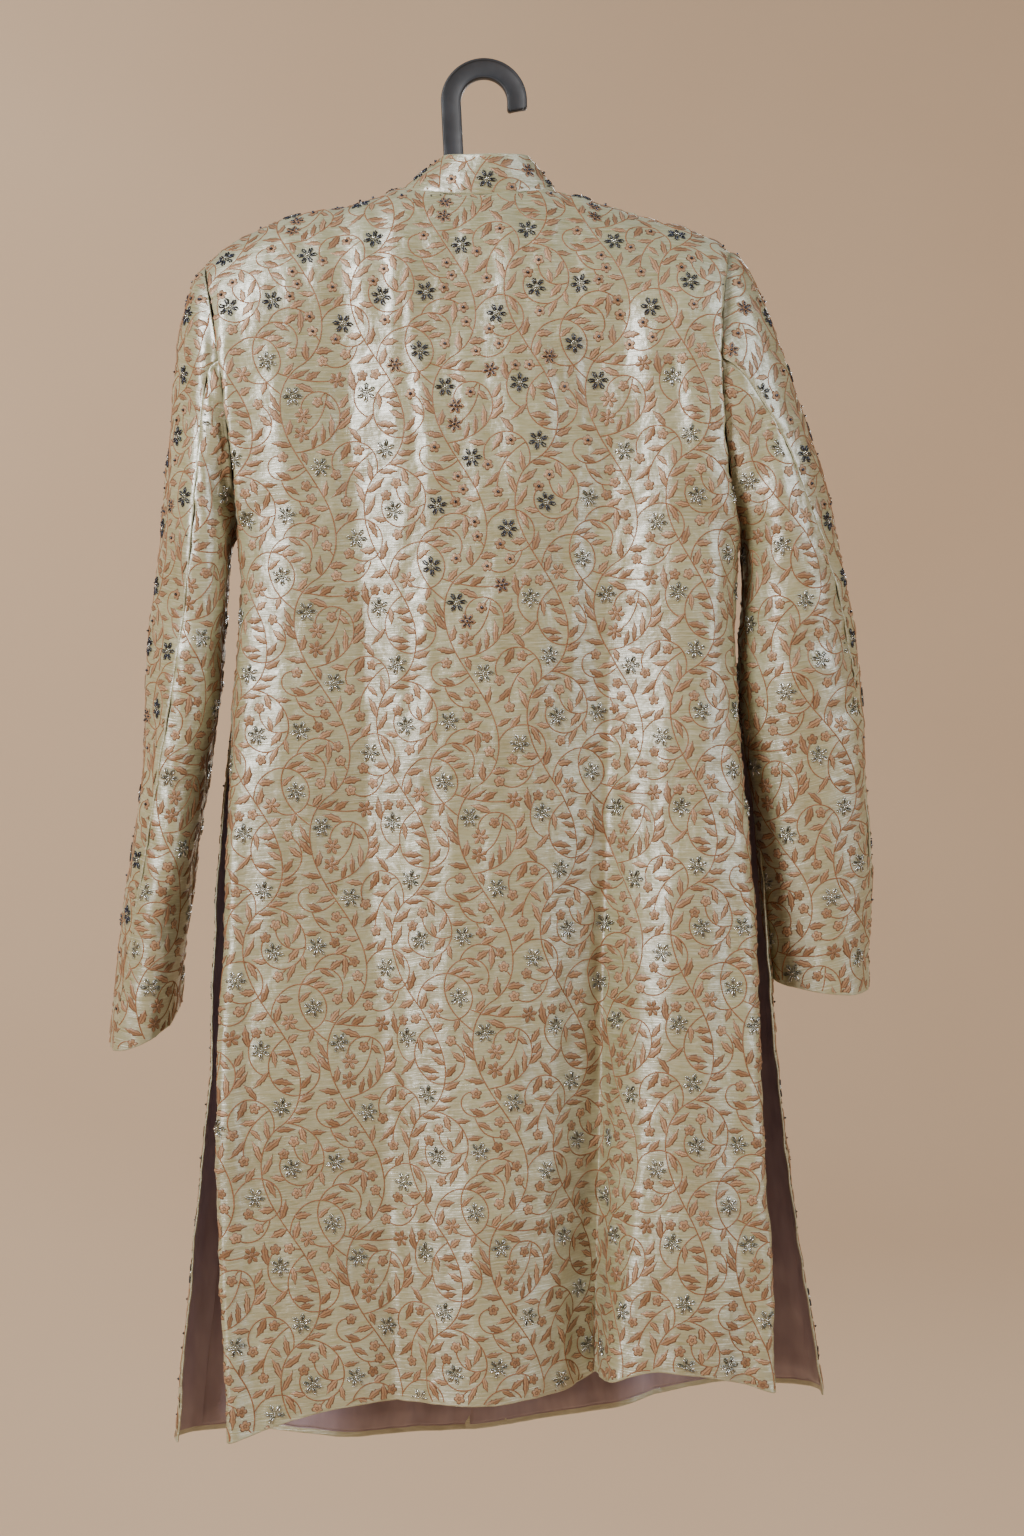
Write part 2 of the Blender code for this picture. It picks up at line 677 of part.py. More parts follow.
def sleeve_grid(side, part):
    """The top sleeve or the under sleeve, between the hindarm and the forearm seams."""
    last = len(SLEEVES[side]) - 1
    columns, rows = SLEEVE_GRID
    pull = ARMHOLE_PULL / RING_PITCH
    rings = pull + (last - pull) * np.linspace(1.0, 0.0, rows + 1) ** SLEEVE_CROWDING
    ring, across = np.meshgrid(rings, np.linspace(0.0, 1.0, columns + 1), indexing="ij")
    seam = smooth(ring, np.arange(last + 1.0), column(SLEEVES[side], "seam_deg"))
    gap = math.degrees(SLEEVE_SEAM_PULL / SLEEVE_RADIUS)
    if part == "top":
        low, high = FOREARM_SEAM_DEG + gap, seam - gap
    else:
        low, high = seam + gap, 360.0 + FOREARM_SEAM_DEG - gap
    points = sleeve_point(side, np.radians(low + (high - low) * across), ring)
    return points if side == "left" else points[:, ::-1]


def drawn_in(points, wanted):
    """points with its first row moved a small gap towards the next one, where that is wanted."""
    if not wanted:
        return points
    step = points[1] - points[0]
    share = SLEEVE_LENGTH_GAP / np.linalg.norm(step, axis=-1, keepdims=True)
    return np.concatenate([[points[0] + step * share], points[1:]])


def sleeve_lengths(side):
    """(name, points) of a sleeve's nodes: the under sleeve, and the top sleeve in three lengths."""
    found = [(f"{side}_under_sleeve", sleeve_grid(side, "under"))]
    whole = sleeve_grid(side, "top")
    for name, (foot, head) in TOP_SLEEVE_CUTS.items():
        points = drawn_in(whole[foot : head + 1], foot > 0)
        found.append((f"{side}_top_sleeve_{name}", points))
    return found


def collar_grid():
    """The stand collar, one band that is open at the centre front."""
    half = [*np.arange(NECK_STEP_DEG, 151, NECK_STEP_DEG)]
    half += [180 - math.degrees(math.asin(x / NECK_HALF_WIDTH)) for x in (LAP, LAP - LINING_EDGE)]
    half = np.array([*half, COLLAR_END_DEG])
    stations = np.radians([*-half[::-1], 0.0, *half])
    rise, angle = np.meshgrid(np.linspace(0.0, 1.0, COLLAR_ROWS + 1), stations, indexing="ij")
    points = collar_point(angle, rise)
    points[..., 2] += COLLAR_LIFT * (1 - rise)
    return points


def front_place(z):
    """The point of the left front's outer surface on the centre line at height z."""
    fall = np.linspace(0.01, 0.99, 400)
    points = panel_point("front", front_across("left", 0.0, np.ones_like(fall), fall), fall)
    points[:, 1] += lap_rise("left", points, fall)
    return np.array([np.interp(-z, -points[:, 2], points[:, i]) for i in range(3)])


def add_button(number, finish, collection):
    """A covered button: a turned dome on a short shank, on the left front's edge."""
    z = BUTTON_TOP_Z - BUTTON_PITCH * number
    place = front_place(z)
    base = BUTTON_SHANK_HEIGHT
    dome = [
        (BUTTON_RADIUS * math.cos(a), base + (BUTTON_HEIGHT - base) * (0.3 + 0.7 * math.sin(a)))
        for a in np.linspace(math.pi / 2, 0.0, 5)
    ]
    dome[0] = (0.0, BUTTON_HEIGHT)
    profile = [*dome, (BUTTON_RADIUS * BUTTON_UNDERSIDE, base)]
    profile += [(BUTTON_SHANK_RADIUS, base), (BUTTON_SHANK_RADIUS, 0.0), (0.0, 0.0)]
    mesh = bpy.data.meshes.new(f"button_{number + 1}")
    points = [(r * MM, 0.0, h * MM) for r, h in profile]
    mesh.from_pydata(points, [(i, i + 1) for i in range(len(points) - 1)], [])
    made = add_object(f"button_{number + 1}", mesh, finish, collection)
    turn = made.modifiers.new("Turn", "SCREW")
    turn.axis = "Z"
    turn.angle = 2 * math.pi
    turn.steps = turn.render_steps = 10
    turn.use_merge_vertices = True
    turn.merge_threshold = 1e-5
    made.rotation_euler = (-math.pi / 2, 0.0, 0.0)
    lift = place[1] + 2 * SEAM_GAP
    made.location = (place[0] * MM, lift * MM, place[2] * MM)
    return made


def hook_line():
    """The hook's middle line in the XZ plane, from its tip over the top to its foot."""
    middle = HOOK_INNER_RADIUS + HOOK_BAND / 2
    centre_z = -HOOK_INNER_RADIUS
    points = [(middle, centre_z - HOOK_TIP)]
    points += [
        (middle * math.cos(a), centre_z + middle * math.sin(a))
        for a in np.linspace(0.0, math.pi, 17)
    ]
    bend_x = -middle + SHANK_LEAN
    points.append((bend_x, SHANK_BEND_Z))
    for t in np.linspace(0.0, 1.0, 9)[1:]:
        points.append((bend_x * (1 - float(ease(t))), SHANK_BEND_Z + (SHANK_FOOT_Z - SHANK_BEND_Z) * t))
    return np.array(points)


def add_hook(finish, collection):
    """The flat moulded hook: the outline of a band along its middle line, extruded."""
    line = hook_line()
    along = np.gradient(line, axis=0)
    along /= np.linalg.norm(along, axis=1, keepdims=True)
    side = np.stack([-along[:, 1], along[:, 0]], axis=1) * HOOK_BAND / 2
    outline = np.concatenate([line + side, (line - side)[::-1]])
    curve = bpy.data.curves.new("hanger_hook", "CURVE")
    curve.dimensions = "2D"
    curve.fill_mode = "BOTH"
    curve.extrude = HOOK_THICKNESS / 2 * MM
    spline = curve.splines.new("POLY")
    spline.points.add(len(outline) - 1)
    for point, (x, z) in zip(spline.points, outline):
        point.co = (x * MM, z * MM, 0.0, 1.0)
    spline.use_cyclic_u = True
    made = add_object("hanger_hook", curve, finish, collection)
    made.rotation_euler = (math.pi / 2, 0.0, 0.0)
    weld = made.modifiers.new("Weld", "WELD")
    weld.merge_threshold = 1e-5
    edge = made.modifiers.new("Edge", "BEVEL")
    edge.width = HOOK_EDGE * MM
    edge.segments = 1
    edge.limit_method = "ANGLE"
    edge.angle_limit = math.radians(50.0)
    return made


def add_hanger_arms(finish, collection):
    """Both arms and the hub: a sphere drawn out along the underside of the shoulder seams."""
    bm = bmesh.new()
    bmesh.ops.create_uvsphere(bm, u_segments=12, v_segments=30, radius=1.0)
    ball = np.array([vertex.co for vertex in bm.verts])
    along = np.arccos(np.clip(-ball[:, 2], -1.0, 1.0)) / math.pi
    around = np.arctan2(ball[:, 1], ball[:, 0])
    x = ARM_LEFT_X + (ARM_RIGHT_X - ARM_LEFT_X) * along
    swell = (1 - np.abs(2 * along - 1) ** ARM_END_ROUNDING) ** (2 / ARM_END_ROUNDING)
    half_y = read(ARM_SECTIONS, "x", "half_y", x)
    half_z = read(ARM_SECTIONS, "x", "half_z", x)
    in_neck = np.abs(x - NECK_CENTRE_X) < NECK_HALF_WIDTH
    seat = np.where(in_neck, NECK_POINT_Z, ridge_z(x)) - CLOTH_WALL - ARM_CLEAR
    neck_dip = HUB_DIP * ease(1.5 - np.abs(x - NECK_CENTRE_X) / NECK_HALF_WIDTH)
    middle_z = seat - neck_dip - half_z
    points = np.stack(
        [
            x,
            half_y * swell * np.cos(around),
            middle_z + half_z * swell * np.sin(around),
        ],
        axis=1,
    )
    for vertex, point in zip(bm.verts, points * MM):
        vertex.co = point
    bmesh.ops.recalc_face_normals(bm, faces=bm.faces)
    mesh = bpy.data.meshes.new("hanger_arms")
    bm.to_mesh(mesh)
    bm.free()
    made = add_object("hanger_arms", mesh, finish, collection)
    made.data.shade_smooth()
    return made


def main():
    """Builds the coat and its hanger."""
    clear_scene()
    collection = bpy.data.collections.new("sherwani_coat")
    bpy.context.scene.collection.children.link(collection)
    silk = material("embroidered_silk", (0.49, 0.46, 0.33), 0.45)
    satin = material("lining_satin", (0.28, 0.19, 0.18), 0.35)
    button = material("covered_button", (0.52, 0.47, 0.33), 0.5)
    plastic = material("hanger_plastic", (0.035, 0.037, 0.042), 0.4)
    bent_grid("back", back_grid(), CLOTH_WALL, silk, collection)
    for side in ARMHOLES:
        bent_grid(f"front_{side}", front_grid(side), CLOTH_WALL, silk, collection)
        bent_grid(f"front_{side}_lining", lining_grid(side), LINING_WALL, satin, collection)
        for name, points in sleeve_lengths(side):
            bent_grid(name, points, CLOTH_WALL, silk, collection)
    bent_grid("collar", collar_grid(), COLLAR_WALL, silk, collection)
    for number in range(BUTTON_COUNT):
        add_button(number, button, collection)
    add_hook(plastic, collection)
    add_hanger_arms(plastic, collection)


main()
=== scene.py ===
"""Dresses a knee-length sherwani coat that hangs on its moulded hanger, and lights it.

Shapes are worked out in millimetres in the coat's own frame and turned to metres in the
meshes. +Z is up, the coat's back faces -Y, and left and right are as seen from its back.
Every cloth panel is a grid of points, rows from top to bottom and columns from left to
right as seen from outside, so a step down crossed with a step right points out of it.
"""

from __future__ import annotations

import logging
import math
from collections.abc import Sequence
from dataclasses import dataclass, field
from enum import Enum
from functools import cached_property

import bpy
import numpy as np
from bpy.types import Material, NodeSocket, Object
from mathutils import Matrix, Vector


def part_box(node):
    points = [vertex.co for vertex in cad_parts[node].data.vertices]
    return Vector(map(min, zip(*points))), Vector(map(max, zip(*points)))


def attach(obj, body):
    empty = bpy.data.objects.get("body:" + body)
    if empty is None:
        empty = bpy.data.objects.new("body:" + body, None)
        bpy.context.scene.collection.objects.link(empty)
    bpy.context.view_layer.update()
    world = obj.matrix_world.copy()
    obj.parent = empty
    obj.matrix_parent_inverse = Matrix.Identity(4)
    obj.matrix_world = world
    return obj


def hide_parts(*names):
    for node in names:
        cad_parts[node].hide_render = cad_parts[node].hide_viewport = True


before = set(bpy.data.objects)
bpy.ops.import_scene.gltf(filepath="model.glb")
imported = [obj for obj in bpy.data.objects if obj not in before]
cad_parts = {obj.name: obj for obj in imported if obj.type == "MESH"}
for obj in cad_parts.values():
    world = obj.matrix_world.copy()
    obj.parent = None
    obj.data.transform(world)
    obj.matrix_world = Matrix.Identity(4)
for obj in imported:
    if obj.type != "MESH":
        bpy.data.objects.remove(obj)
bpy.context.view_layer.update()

Array = np.ndarray
MM = 0.001
CLOTH_WALL = 1.6
COLLAR_WALL = 2.4
LINING_WALL = 1.0

# How a panel's grid crowds along a line: the pitch there, and how far from it that reaches.
AT_SEAM = (0.8, 12.0)
AT_EDGE = (0.7, 12.0)
AT_NECK = (1.6, 14.0)
AT_HEM = (0.9, 14.0)
AT_ARMHOLE = (0.9, 12.0)
AT_SLEEVE_SEAM = (0.8, 11.0)
AT_RIDGE = (1.0, 8.0)  # in degrees of the shoulder's turn
CHART_Z = -560.0  # height of the places from which the body's panels are flattened

log = logging.getLogger("sherwani_coat")


class Facing(Enum):
    """Which half of the body a panel belongs to, with the sign of its outward Y."""

    BACK = -1.0
    FRONT = 1.0


class Side(Enum):
    """A side of the coat as seen from its back, with the sign of its X."""

    LEFT = -1.0
    RIGHT = 1.0


class SleevePart(Enum):
    """The two pieces that a sleeve is cut in."""

    TOP = "top"
    UNDER = "under"


# --- curves and fields -------------------------------------------------------------------


def smooth(at: Array, knots: Array, values: Array) -> Array:
    """A cubic through the knots whose slope at each knot comes from its neighbours.

    Args:
        at: Places to read.
        knots: Rising places of the known values.
        values: The known values.

    Returns:
        The curve's values at the places.
    """
    slopes = np.gradient(values, knots)
    i = np.clip(np.searchsorted(knots, at, side="right") - 1, 0, len(knots) - 2)
    span = knots[i + 1] - knots[i]
    t = np.clip((at - knots[i]) / span, 0.0, 1.0)
    return (
        (2 * t**3 - 3 * t**2 + 1) * values[i]
        + (t**3 - 2 * t**2 + t) * span * slopes[i]
        + (3 * t**2 - 2 * t**3) * values[i + 1]
        + (t**3 - t**2) * span * slopes[i + 1]
    )


def ease(t: Array) -> Array:
    """0 to 1 with level ends."""
    t = np.clip(t, 0.0, 1.0)
    return t * t * (3 - 2 * t)


def between(low: Array, high: Array, across: Array) -> Array:
    """The value at across from -1 to 1 between two values."""
    return low + (high - low) * (1 + across) / 2


def spaced(
    start: float, end: float, step: float, tight: Sequence[tuple[float, float, float]] = ()
) -> Array:
    """Places from start to end that crowd together near some of them.

    Args:
        start: First place.
        end: Last place.
        step: Pitch away from the tight places.
        tight: For each tight place, where it is, the pitch there, and how far it reaches.

    Returns:
        The places, in order from start to end.
    """
    x = np.linspace(start, end, 4001)
    pitch = np.full_like(x, step)
    for place, close, reach in tight:
        away = np.clip(np.abs(x - place) / reach, 0.0, 1.0)
        pitch = np.minimum(pitch, close + (step - close) * away**2)
    count = np.concatenate([[0.0], np.cumsum(np.abs(np.diff(x)) / pitch[1:])])
    return np.interp(np.linspace(0.0, count[-1], round(count[-1]) + 1), count, x)


def waves(u: Array, v: Array, seed: int, size_u: float, size_v: float) -> Array:
    """Soft uneven relief: the sum of nine sine waves of drawn direction, length and phase.

    Args:
        u: First coordinate, in millimetres.
        v: Second coordinate, in millimetres.
        seed: Seed of the draw.
        size_u: Usual wavelength along u.
        size_v: Usual wavelength along v.

    Returns:
        Heights with a spread of about one.
    """
    draw = np.random.default_rng(seed)
    total = np.zeros(np.broadcast(u, v).shape)
    for _ in range(9):
        turns = draw.normal() * u / size_u + draw.normal() * v / size_v + draw.uniform()
        total += np.sin(2 * math.pi * turns)
    return total / 2.1


def normed(vectors: Array) -> Array:
    """The vectors at a length of 1."""
    return vectors / np.linalg.norm(vectors, axis=-1, keepdims=True)


def unit_normals(points: Array) -> Array:
    """Unit normals out of a grid: its step down crossed with its step to the right."""
    return normed(np.cross(np.gradient(points, axis=0), np.gradient(points, axis=1)))


def across_line(line: Array) -> tuple[Array, Array]:
    """Directions at the places of a flat line.

    Args:
        line: The places.

    Returns:
        Unit vectors along the line, and square to it on its left.
    """
    along = normed(np.gradient(line, axis=0))
    return along, np.stack([-along[:, 1], along[:, 0]], axis=1)


def lengths(line: Array) -> Array:
    """Length along a line of places, up to each of them."""
    return np.concatenate([[0.0], np.cumsum(np.linalg.norm(np.diff(line, axis=0), axis=1))])


def sample(grid: Array, row: Array, column: Array) -> Array:
    """Values of a grid between its points, mixed from the four round each place.

    Args:
        grid: A value, or a row of values, for each point.
        row: Fractional rows.
        column: Fractional columns.

    Returns:
        The values at those places.
    """
    i = np.clip(np.floor(row).astype(int), 0, grid.shape[0] - 2)
    j = np.clip(np.floor(column).astype(int), 0, grid.shape[1] - 2)
    extra = (1,) * (grid.ndim - 2)
    a = (row - i).reshape(row.shape + extra)
    b = (column - j).reshape(column.shape + extra)
    upper = grid[i, j] * (1 - b) + grid[i, j + 1] * b
    lower = grid[i + 1, j] * (1 - b) + grid[i + 1, j + 1] * b
    return upper * (1 - a) + lower * a


@dataclass(frozen=True)
class Table:
    """Numbers, lengths in millimetres: a line of column names, then a line for each row."""

    text: str

    @cached_property
    def rows(self) -> Array:
        """The values."""
        return np.array([line.split() for line in self.text.splitlines()[1:]], dtype=float)

    def column(self, name: str) -> Array:
        """One named column."""
        return self.rows[:, self.text.splitlines()[0].split().index(name)]

    def read(self, key: str, name: str, at: Array) -> Array:
        """One column along a smooth curve over another one.

        Args:
            key: Name of the column that is looked up.
            name: Name of the column that is read.
            at: Values of the key.

        Returns:
            The values there.
        """
        knots, values = self.column(key), self.column(name)
        order = np.argsort(knots)
        return smooth(at, knots[order], values[order])


# --- how the coat is cut -----------------------------------------------------------------


@dataclass(frozen=True)
class Armhole:
    """A sleeve seam: its shoulder and underarm points, half its depth and its inward bow."""

    top_x: float
    top_z: float
    under_x: float
    under_z: float
    half_y: float
    bow: float

    def share(self, z: Array) -> Array:
        """How far down the seam the height z lies, from 0 to 1."""
        return np.clip((self.top_z - z) / (self.top_z - self.under_z), 0.0, 1.0)

    def seam(self, z: Array) -> tuple[Array, Array]:
        """The seam at a height: an ellipse along the line from shoulder to underarm.

        Args:
            z: Heights.

        Returns:
            Its place in x, and its half depth.
        """
        share = self.share(z)
        across = 2 * np.sqrt(share * (1 - share))
        x = self.top_x + (self.under_x - self.top_x) * share + self.bow * across**2
        return x, self.half_y * across


SHOULDERS = {
    Side.LEFT: Table("""x z
    -244 -162
    -217 -142.5
    -174 -125
    -104 -107.5
    -73 -99"""),
    Side.RIGHT: Table("""x z
    63 -99
    90 -106.5
    145 -123
    198 -141.5
    213 -151"""),
}
ARMHOLES = {
    Side.LEFT: Armhole(-244.0, -162.0, -213.0, -397.0, 60.0, 7.0),
    Side.RIGHT: Armhole(213.0, -151.0, 222.0, -399.0, 60.0, -14.0),
}
DEPTHS = Table("""z BACK FRONT BACK_edge FRONT_edge
    -100 -58 48 0 0
    -200 -66 58 0 0
    -300 -72 66 0 0
    -400 -72 68 -4 -4
    -535 -68 64 -7 -5
    -600 -67 62 -16 -10
    -700 -66 60 -28 -19
    -860 -68 57 -45 -27
    -1010 -74 53 -58 -30
    -1200 -80 50 -68 -30""")
SIDE_EDGES = Table("""z BACK_LEFT BACK_RIGHT FRONT_LEFT FRONT_RIGHT
    -397 -213 222 -213 222
    -450 -210 217 -210 217
    -500 -213 216 -213 217
    -535 -216 218 -220 222
    -595 -217 222 -230 237
    -680 -221 230 -236 247
    -765 -224 235 -239 253
    -860 -227 237 -242 259
    -935 -227 241 -248 268
    -1010 -224 245 -255 278
    -1125 -218 247 -266 296
    -1200 -214 247 -273 304""")
HEMS = {
    Facing.BACK: Table("""x z
    -216 -1173
    -142 -1152
    -60 -1144
    30 -1142
    80 -1135
    112 -1120
    135 -1112
    182 -1114
    247 -1131"""),
    Facing.FRONT: Table("""x z
    -272 -1189
    -20 -1195
    60 -1184
    145 -1162
    215 -1152
    300 -1148"""),
}
FOLDS = {
    Facing.BACK: Table("""top_x top_z foot_x foot_z high low left left_foot right right_foot power
    -118 -215 -74 -1150 12 42 64 112 50 46 1.1
    112 -230 97 -1127 11 72 48 54 56 6 1.35
    -172 -300 -176 -900 -4 0 34 34 34 34 2
    180 -260 168 -1120 -3 -8 36 36 40 40 2
    30 -700 -6 -1144 1 -4 46 46 46 46 2
    200 -560 226 -1125 1 7 18 18 16 16 1.6"""),
    Facing.FRONT: Table("""top_x top_z foot_x foot_z high low left left_foot right right_foot power
    -118 -300 -128 -1190 4 13 30 30 34 34 1.6
    104 -330 122 -1170 4 22 32 32 28 28 1.6
    -60 -620 -58 -1193 -1 -9 34 34 34 34 1.6
    60 -560 52 -1185 -1 -8 34 34 34 34 1.6
    -190 -600 -206 -1190 -2 -10 30 30 30 30 1.6
    190 -600 214 -1155 -2 -11 30 30 30 30 1.6"""),
}


@dataclass(frozen=True)
class BodyCut:
    """The surface that the back and both fronts are bent onto."""

    neck_centre: float = -5.0
    neck_half: float = 68.0
    neck_z: float = -99.0
    neck_rise: float = 11.0
    back_dip: float = 10.5
    front_drop: float = 61.0
    front_shape: float = 1.6
    turn_height: float = 85.0
    turn_pitch: float = 3.6  # degrees between the rows over the shoulder's turn
    rounding: float = 4.6
    seam_pull: float = 0.1
    slit_top: float = -535.0
    slit_ease: float = 12.0
    lap: float = 20.0
    lap_ease: float = 30.0
    lap_rise: float = 1.9
    centre_top: float = -5.0
    centre_foot: float = 3.0
    fold_fade: float = 60.0
    fold_deepening: float = 1.25
    fold_free_edge: float = 0.12
    flare: float = 7.0
    flare_reach: float = 9.0
    shoulders: dict[Side, Table] = field(default_factory=lambda: SHOULDERS)
    armholes: dict[Side, Armhole] = field(default_factory=lambda: ARMHOLES)
    depths: Table = DEPTHS
    edges: Table = SIDE_EDGES
    hems: dict[Facing, Table] = field(default_factory=lambda: HEMS)
    folds: dict[Facing, Table] = field(default_factory=lambda: FOLDS)

    def neck_round(self, x: Array) -> Array:
        """1 at the middle of the neck, and 0 from its shoulder points on, as a circle falls."""
        return np.sqrt(1 - np.clip((x - self.neck_centre) / self.neck_half, -1.0, 1.0) ** 2)

    def ridge_z(self, x: Array) -> Array:
        """The shoulder line, which runs on over the neck as if none were cut.

        Args:
            x: Places across.

        Returns:
            Heights.
        """
        left, right = (self.shoulders[side].read("x", "z", x) for side in Side)
        over_neck = self.neck_z + self.neck_rise * self.neck_round(x) ** 2
        past = x - self.neck_centre
        return np.where(np.abs(past) < self.neck_half, over_neck, np.where(past < 0, left, right))

    def top_z(self, facing: Facing, x: Array) -> Array:
        """A panel's top edge: the shoulder seams, with the neck seam between them.

        Args:
            facing: Back or front.
            x: Places across.

        Returns:
            Heights.
        """
        c = self.neck_round(x)
        back = facing is Facing.BACK
        dip = self.back_dip * c**2 if back else self.front_drop * c**self.front_shape
        return np.where(c > 0, self.neck_z - dip, self.ridge_z(x))

    def middle_y(self, facing: Facing, ridge: Array, z: Array) -> tuple[Array, Array]:
        """How far a panel stands out: a quarter round from the ridge to its full depth.

        Args:
            facing: Back or front.
            ridge: Height of the shoulder line above each place.
            z: Height of each place.

        Returns:
            The outward place, and the quarter round's share of the full depth.
        """
        turn = np.clip((ridge - z) / self.turn_height, 0.0, 1.0)
        share = np.sqrt(1 - (1 - turn) ** 2)
        return self.depths.read("z", facing.name, z) * share, share

    def side_edge(self, facing: Facing, side: Side, z: Array) -> tuple[Array, Array]:
        """A panel's side edge: armhole, then side seam, then slit edge.

        Args:
            facing: Back or front.
            side: Left or right.
            z: Heights.

        Returns:
            Its places in x and in y.
        """
        armhole = self.armholes[side]
        seam_x, seam_y = armhole.seam(z)
        free_x = self.edges.read("z", f"{facing.name}_{side.name}", z)
        free_y = self.depths.read("z", f"{facing.name}_edge", z)
        under_y = self.depths.read("z", f"{facing.name}_edge", np.array(armhole.under_z))
        above = z > armhole.under_z
        return (
            np.where(above, seam_x, free_x),
            np.where(above, facing.value * seam_y + under_y * armhole.share(z), free_y),
        )

    def corner(self, facing: Facing, side: Side) -> tuple[float, float]:
        """(x, z) where a panel's side edge meets its hem."""
        x = self.edges.column(f"{facing.name}_{side.name}")[-2]
        return x, self.hems[facing].column("z")[0 if side is Side.LEFT else -1]

    def level_edges(self, facing: Facing, fall: Array) -> list[tuple[Array, Array]]:
        """A panel's left and right edges.

        Args:
            facing: Back or front.
            fall: From 0 at the top edge to 1 at the hem.

        Returns:
            For each edge, its places in x and in y.
        """
        found = []
        for side, armhole in self.armholes.items():
            z = armhole.top_z + (self.corner(facing, side)[1] - armhole.top_z) * fall
            found.append(self.side_edge(facing, side, z))
        return found

    def fold_depth(self, facing: Facing, x: Array, z: Array) -> Array:
        """How far the folds move the cloth inwards.

        Each fold is a trough, or a ridge where its depth is under 0, whose section falls
        off as an exponential of a power to each side of a slanted line. It deepens
        downwards, and its spread to each side changes evenly with its length.

        Args:
            facing: Back or front.
            x: Places across.
            z: Heights.

        Returns:
            Depths in millimetres.
        """
        total = np.zeros_like(x)
        for top_x, top_z, foot_x, foot_z, high, low, *spreads, power in self.folds[facing].rows:
            t = np.clip((top_z - z) / (top_z - foot_z), 0.0, 1.0)
            away = x - (top_x + (foot_x - top_x) * t)
            depth = high + (low - high) * t**self.fold_deepening
            fade_in = ease((top_z + self.fold_fade - z) / (2 * self.fold_fade))
            left, left_foot, right, right_foot = spreads
            left, right = left + (left_foot - left) * t, right + (right_foot - right) * t
            spread = np.where(away < 0, left, right)
            total += depth * fade_in * np.exp(-(np.abs(away / spread) ** power))
        return total

    def points(self, facing: Facing, across: Array, fall: Array) -> Array:
        """Points of the back, or of both fronts as one sheet.

        A level section is a super-ellipse between the side edges, and the folds move it
        inwards except close to those edges.

        Args:
            facing: Back or front.
            across: From -1 at the left edge to 1 at the right edge.
            fall: From 0 at the top edge to 1 at the hem.

        Returns:
            Points in millimetres.
        """
        (left_x, left_y), (right_x, right_y) = self.level_edges(facing, fall)
        x = between(left_x, right_x, across)
        edge_y = between(left_y, right_y, across)
        tops = [self.armholes[side].top_x for side in Side]
        feet = [self.corner(facing, side)[0] for side in Side]
        top_x = between(*tops, across)
        top = self.top_z(facing, top_x)
        z = top + (self.hems[facing].read("x", "z", between(*feet, across)) - top) * fall
        full_y, rounding = self.middle_y(facing, self.ridge_z(top_x), z)
        bulge = (1 - np.abs(across) ** self.rounding) ** (1 / self.rounding)
        hold = ease((1 - np.abs(across)) / self.fold_free_edge) * rounding
        y = edge_y + bulge * (full_y - edge_y)
        y += facing.value * (self.seam_pull - self.fold_depth(facing, x, z) * hold)
        return np.stack([x, y, z], axis=-1)

    def centre_x(self, fall: Array) -> Array:
        """The centre front line, which hangs slightly off plumb."""
        return self.centre_top + (self.centre_foot - self.centre_top) * fall

    def front_points(self, side: Side, past_centre: float, share: Array, fall: Array) -> Array:
        """Points of one front, with the left one lifted where it lies on the right one.

        Along its slit the cloth flares: it is drawn in most at flare_reach from the edge,
        as d / reach * exp(1 - d / reach) at the distance d, so its edge turns outwards.

        Args:
            side: Left or right.
            past_centre: Place across of the front's own edge, from the centre line.
            share: 0 at its side edge and 1 at its own edge.
            fall: From 0 at the top edge to 1 at the hem.

        Returns:
            Points in millimetres.
        """
        edges = self.level_edges(Facing.FRONT, fall)
        (left_x, _), (right_x, _) = edges
        outer, outer_y = edges[0 if side is Side.LEFT else 1]
        x = outer + (self.centre_x(fall) + past_centre - outer) * share
        points = self.points(Facing.FRONT, 2 * (x - left_x) / (right_x - left_x) - 1, fall)
        free = ease((self.slit_top - points[..., 2]) / self.fold_fade)
        away = np.hypot(x - outer, points[..., 1] - outer_y) / self.flare_reach
        points[..., 0] -= side.value * self.flare * free * away * np.exp(1 - away)
        if side is Side.LEFT:
            over = points[..., 0] - self.centre_x(fall) + self.lap + self.lap_ease
            points[..., 1] += self.lap_rise * ease(over / self.lap_ease)
        return points

    def falls(self, facing: Facing, side: Side, step: float) -> Array:
        """Shares of fall, even in angle over the shoulder's turn and crowded at both ends.

        Args:
            facing: Back or front.
            side: Left or right.
            step: Pitch of the rows below the turn.

        Returns:
            The shares, from 0 at the top edge to 1 at the hem.
        """
        drop = self.armholes[side].top_z - self.corner(facing, side)[1]
        angles = np.radians(spaced(0.0, 90.0, self.turn_pitch, ((0.0, *AT_RIDGE),)))
        turn = self.turn_height * (1 - np.cos(angles))
        rest = spaced(self.turn_height, drop, step, ((drop, *AT_HEM),))
        return np.concatenate([turn, rest[1:]]) / drop

    def sewn(self, base: Array) -> Array:
        """How much each row of a panel's side edge is sewn: 1 over the slit, 0 below its top."""
        return ease((base[:, 0, 2] - self.slit_top + self.slit_ease / 2) / self.slit_ease)


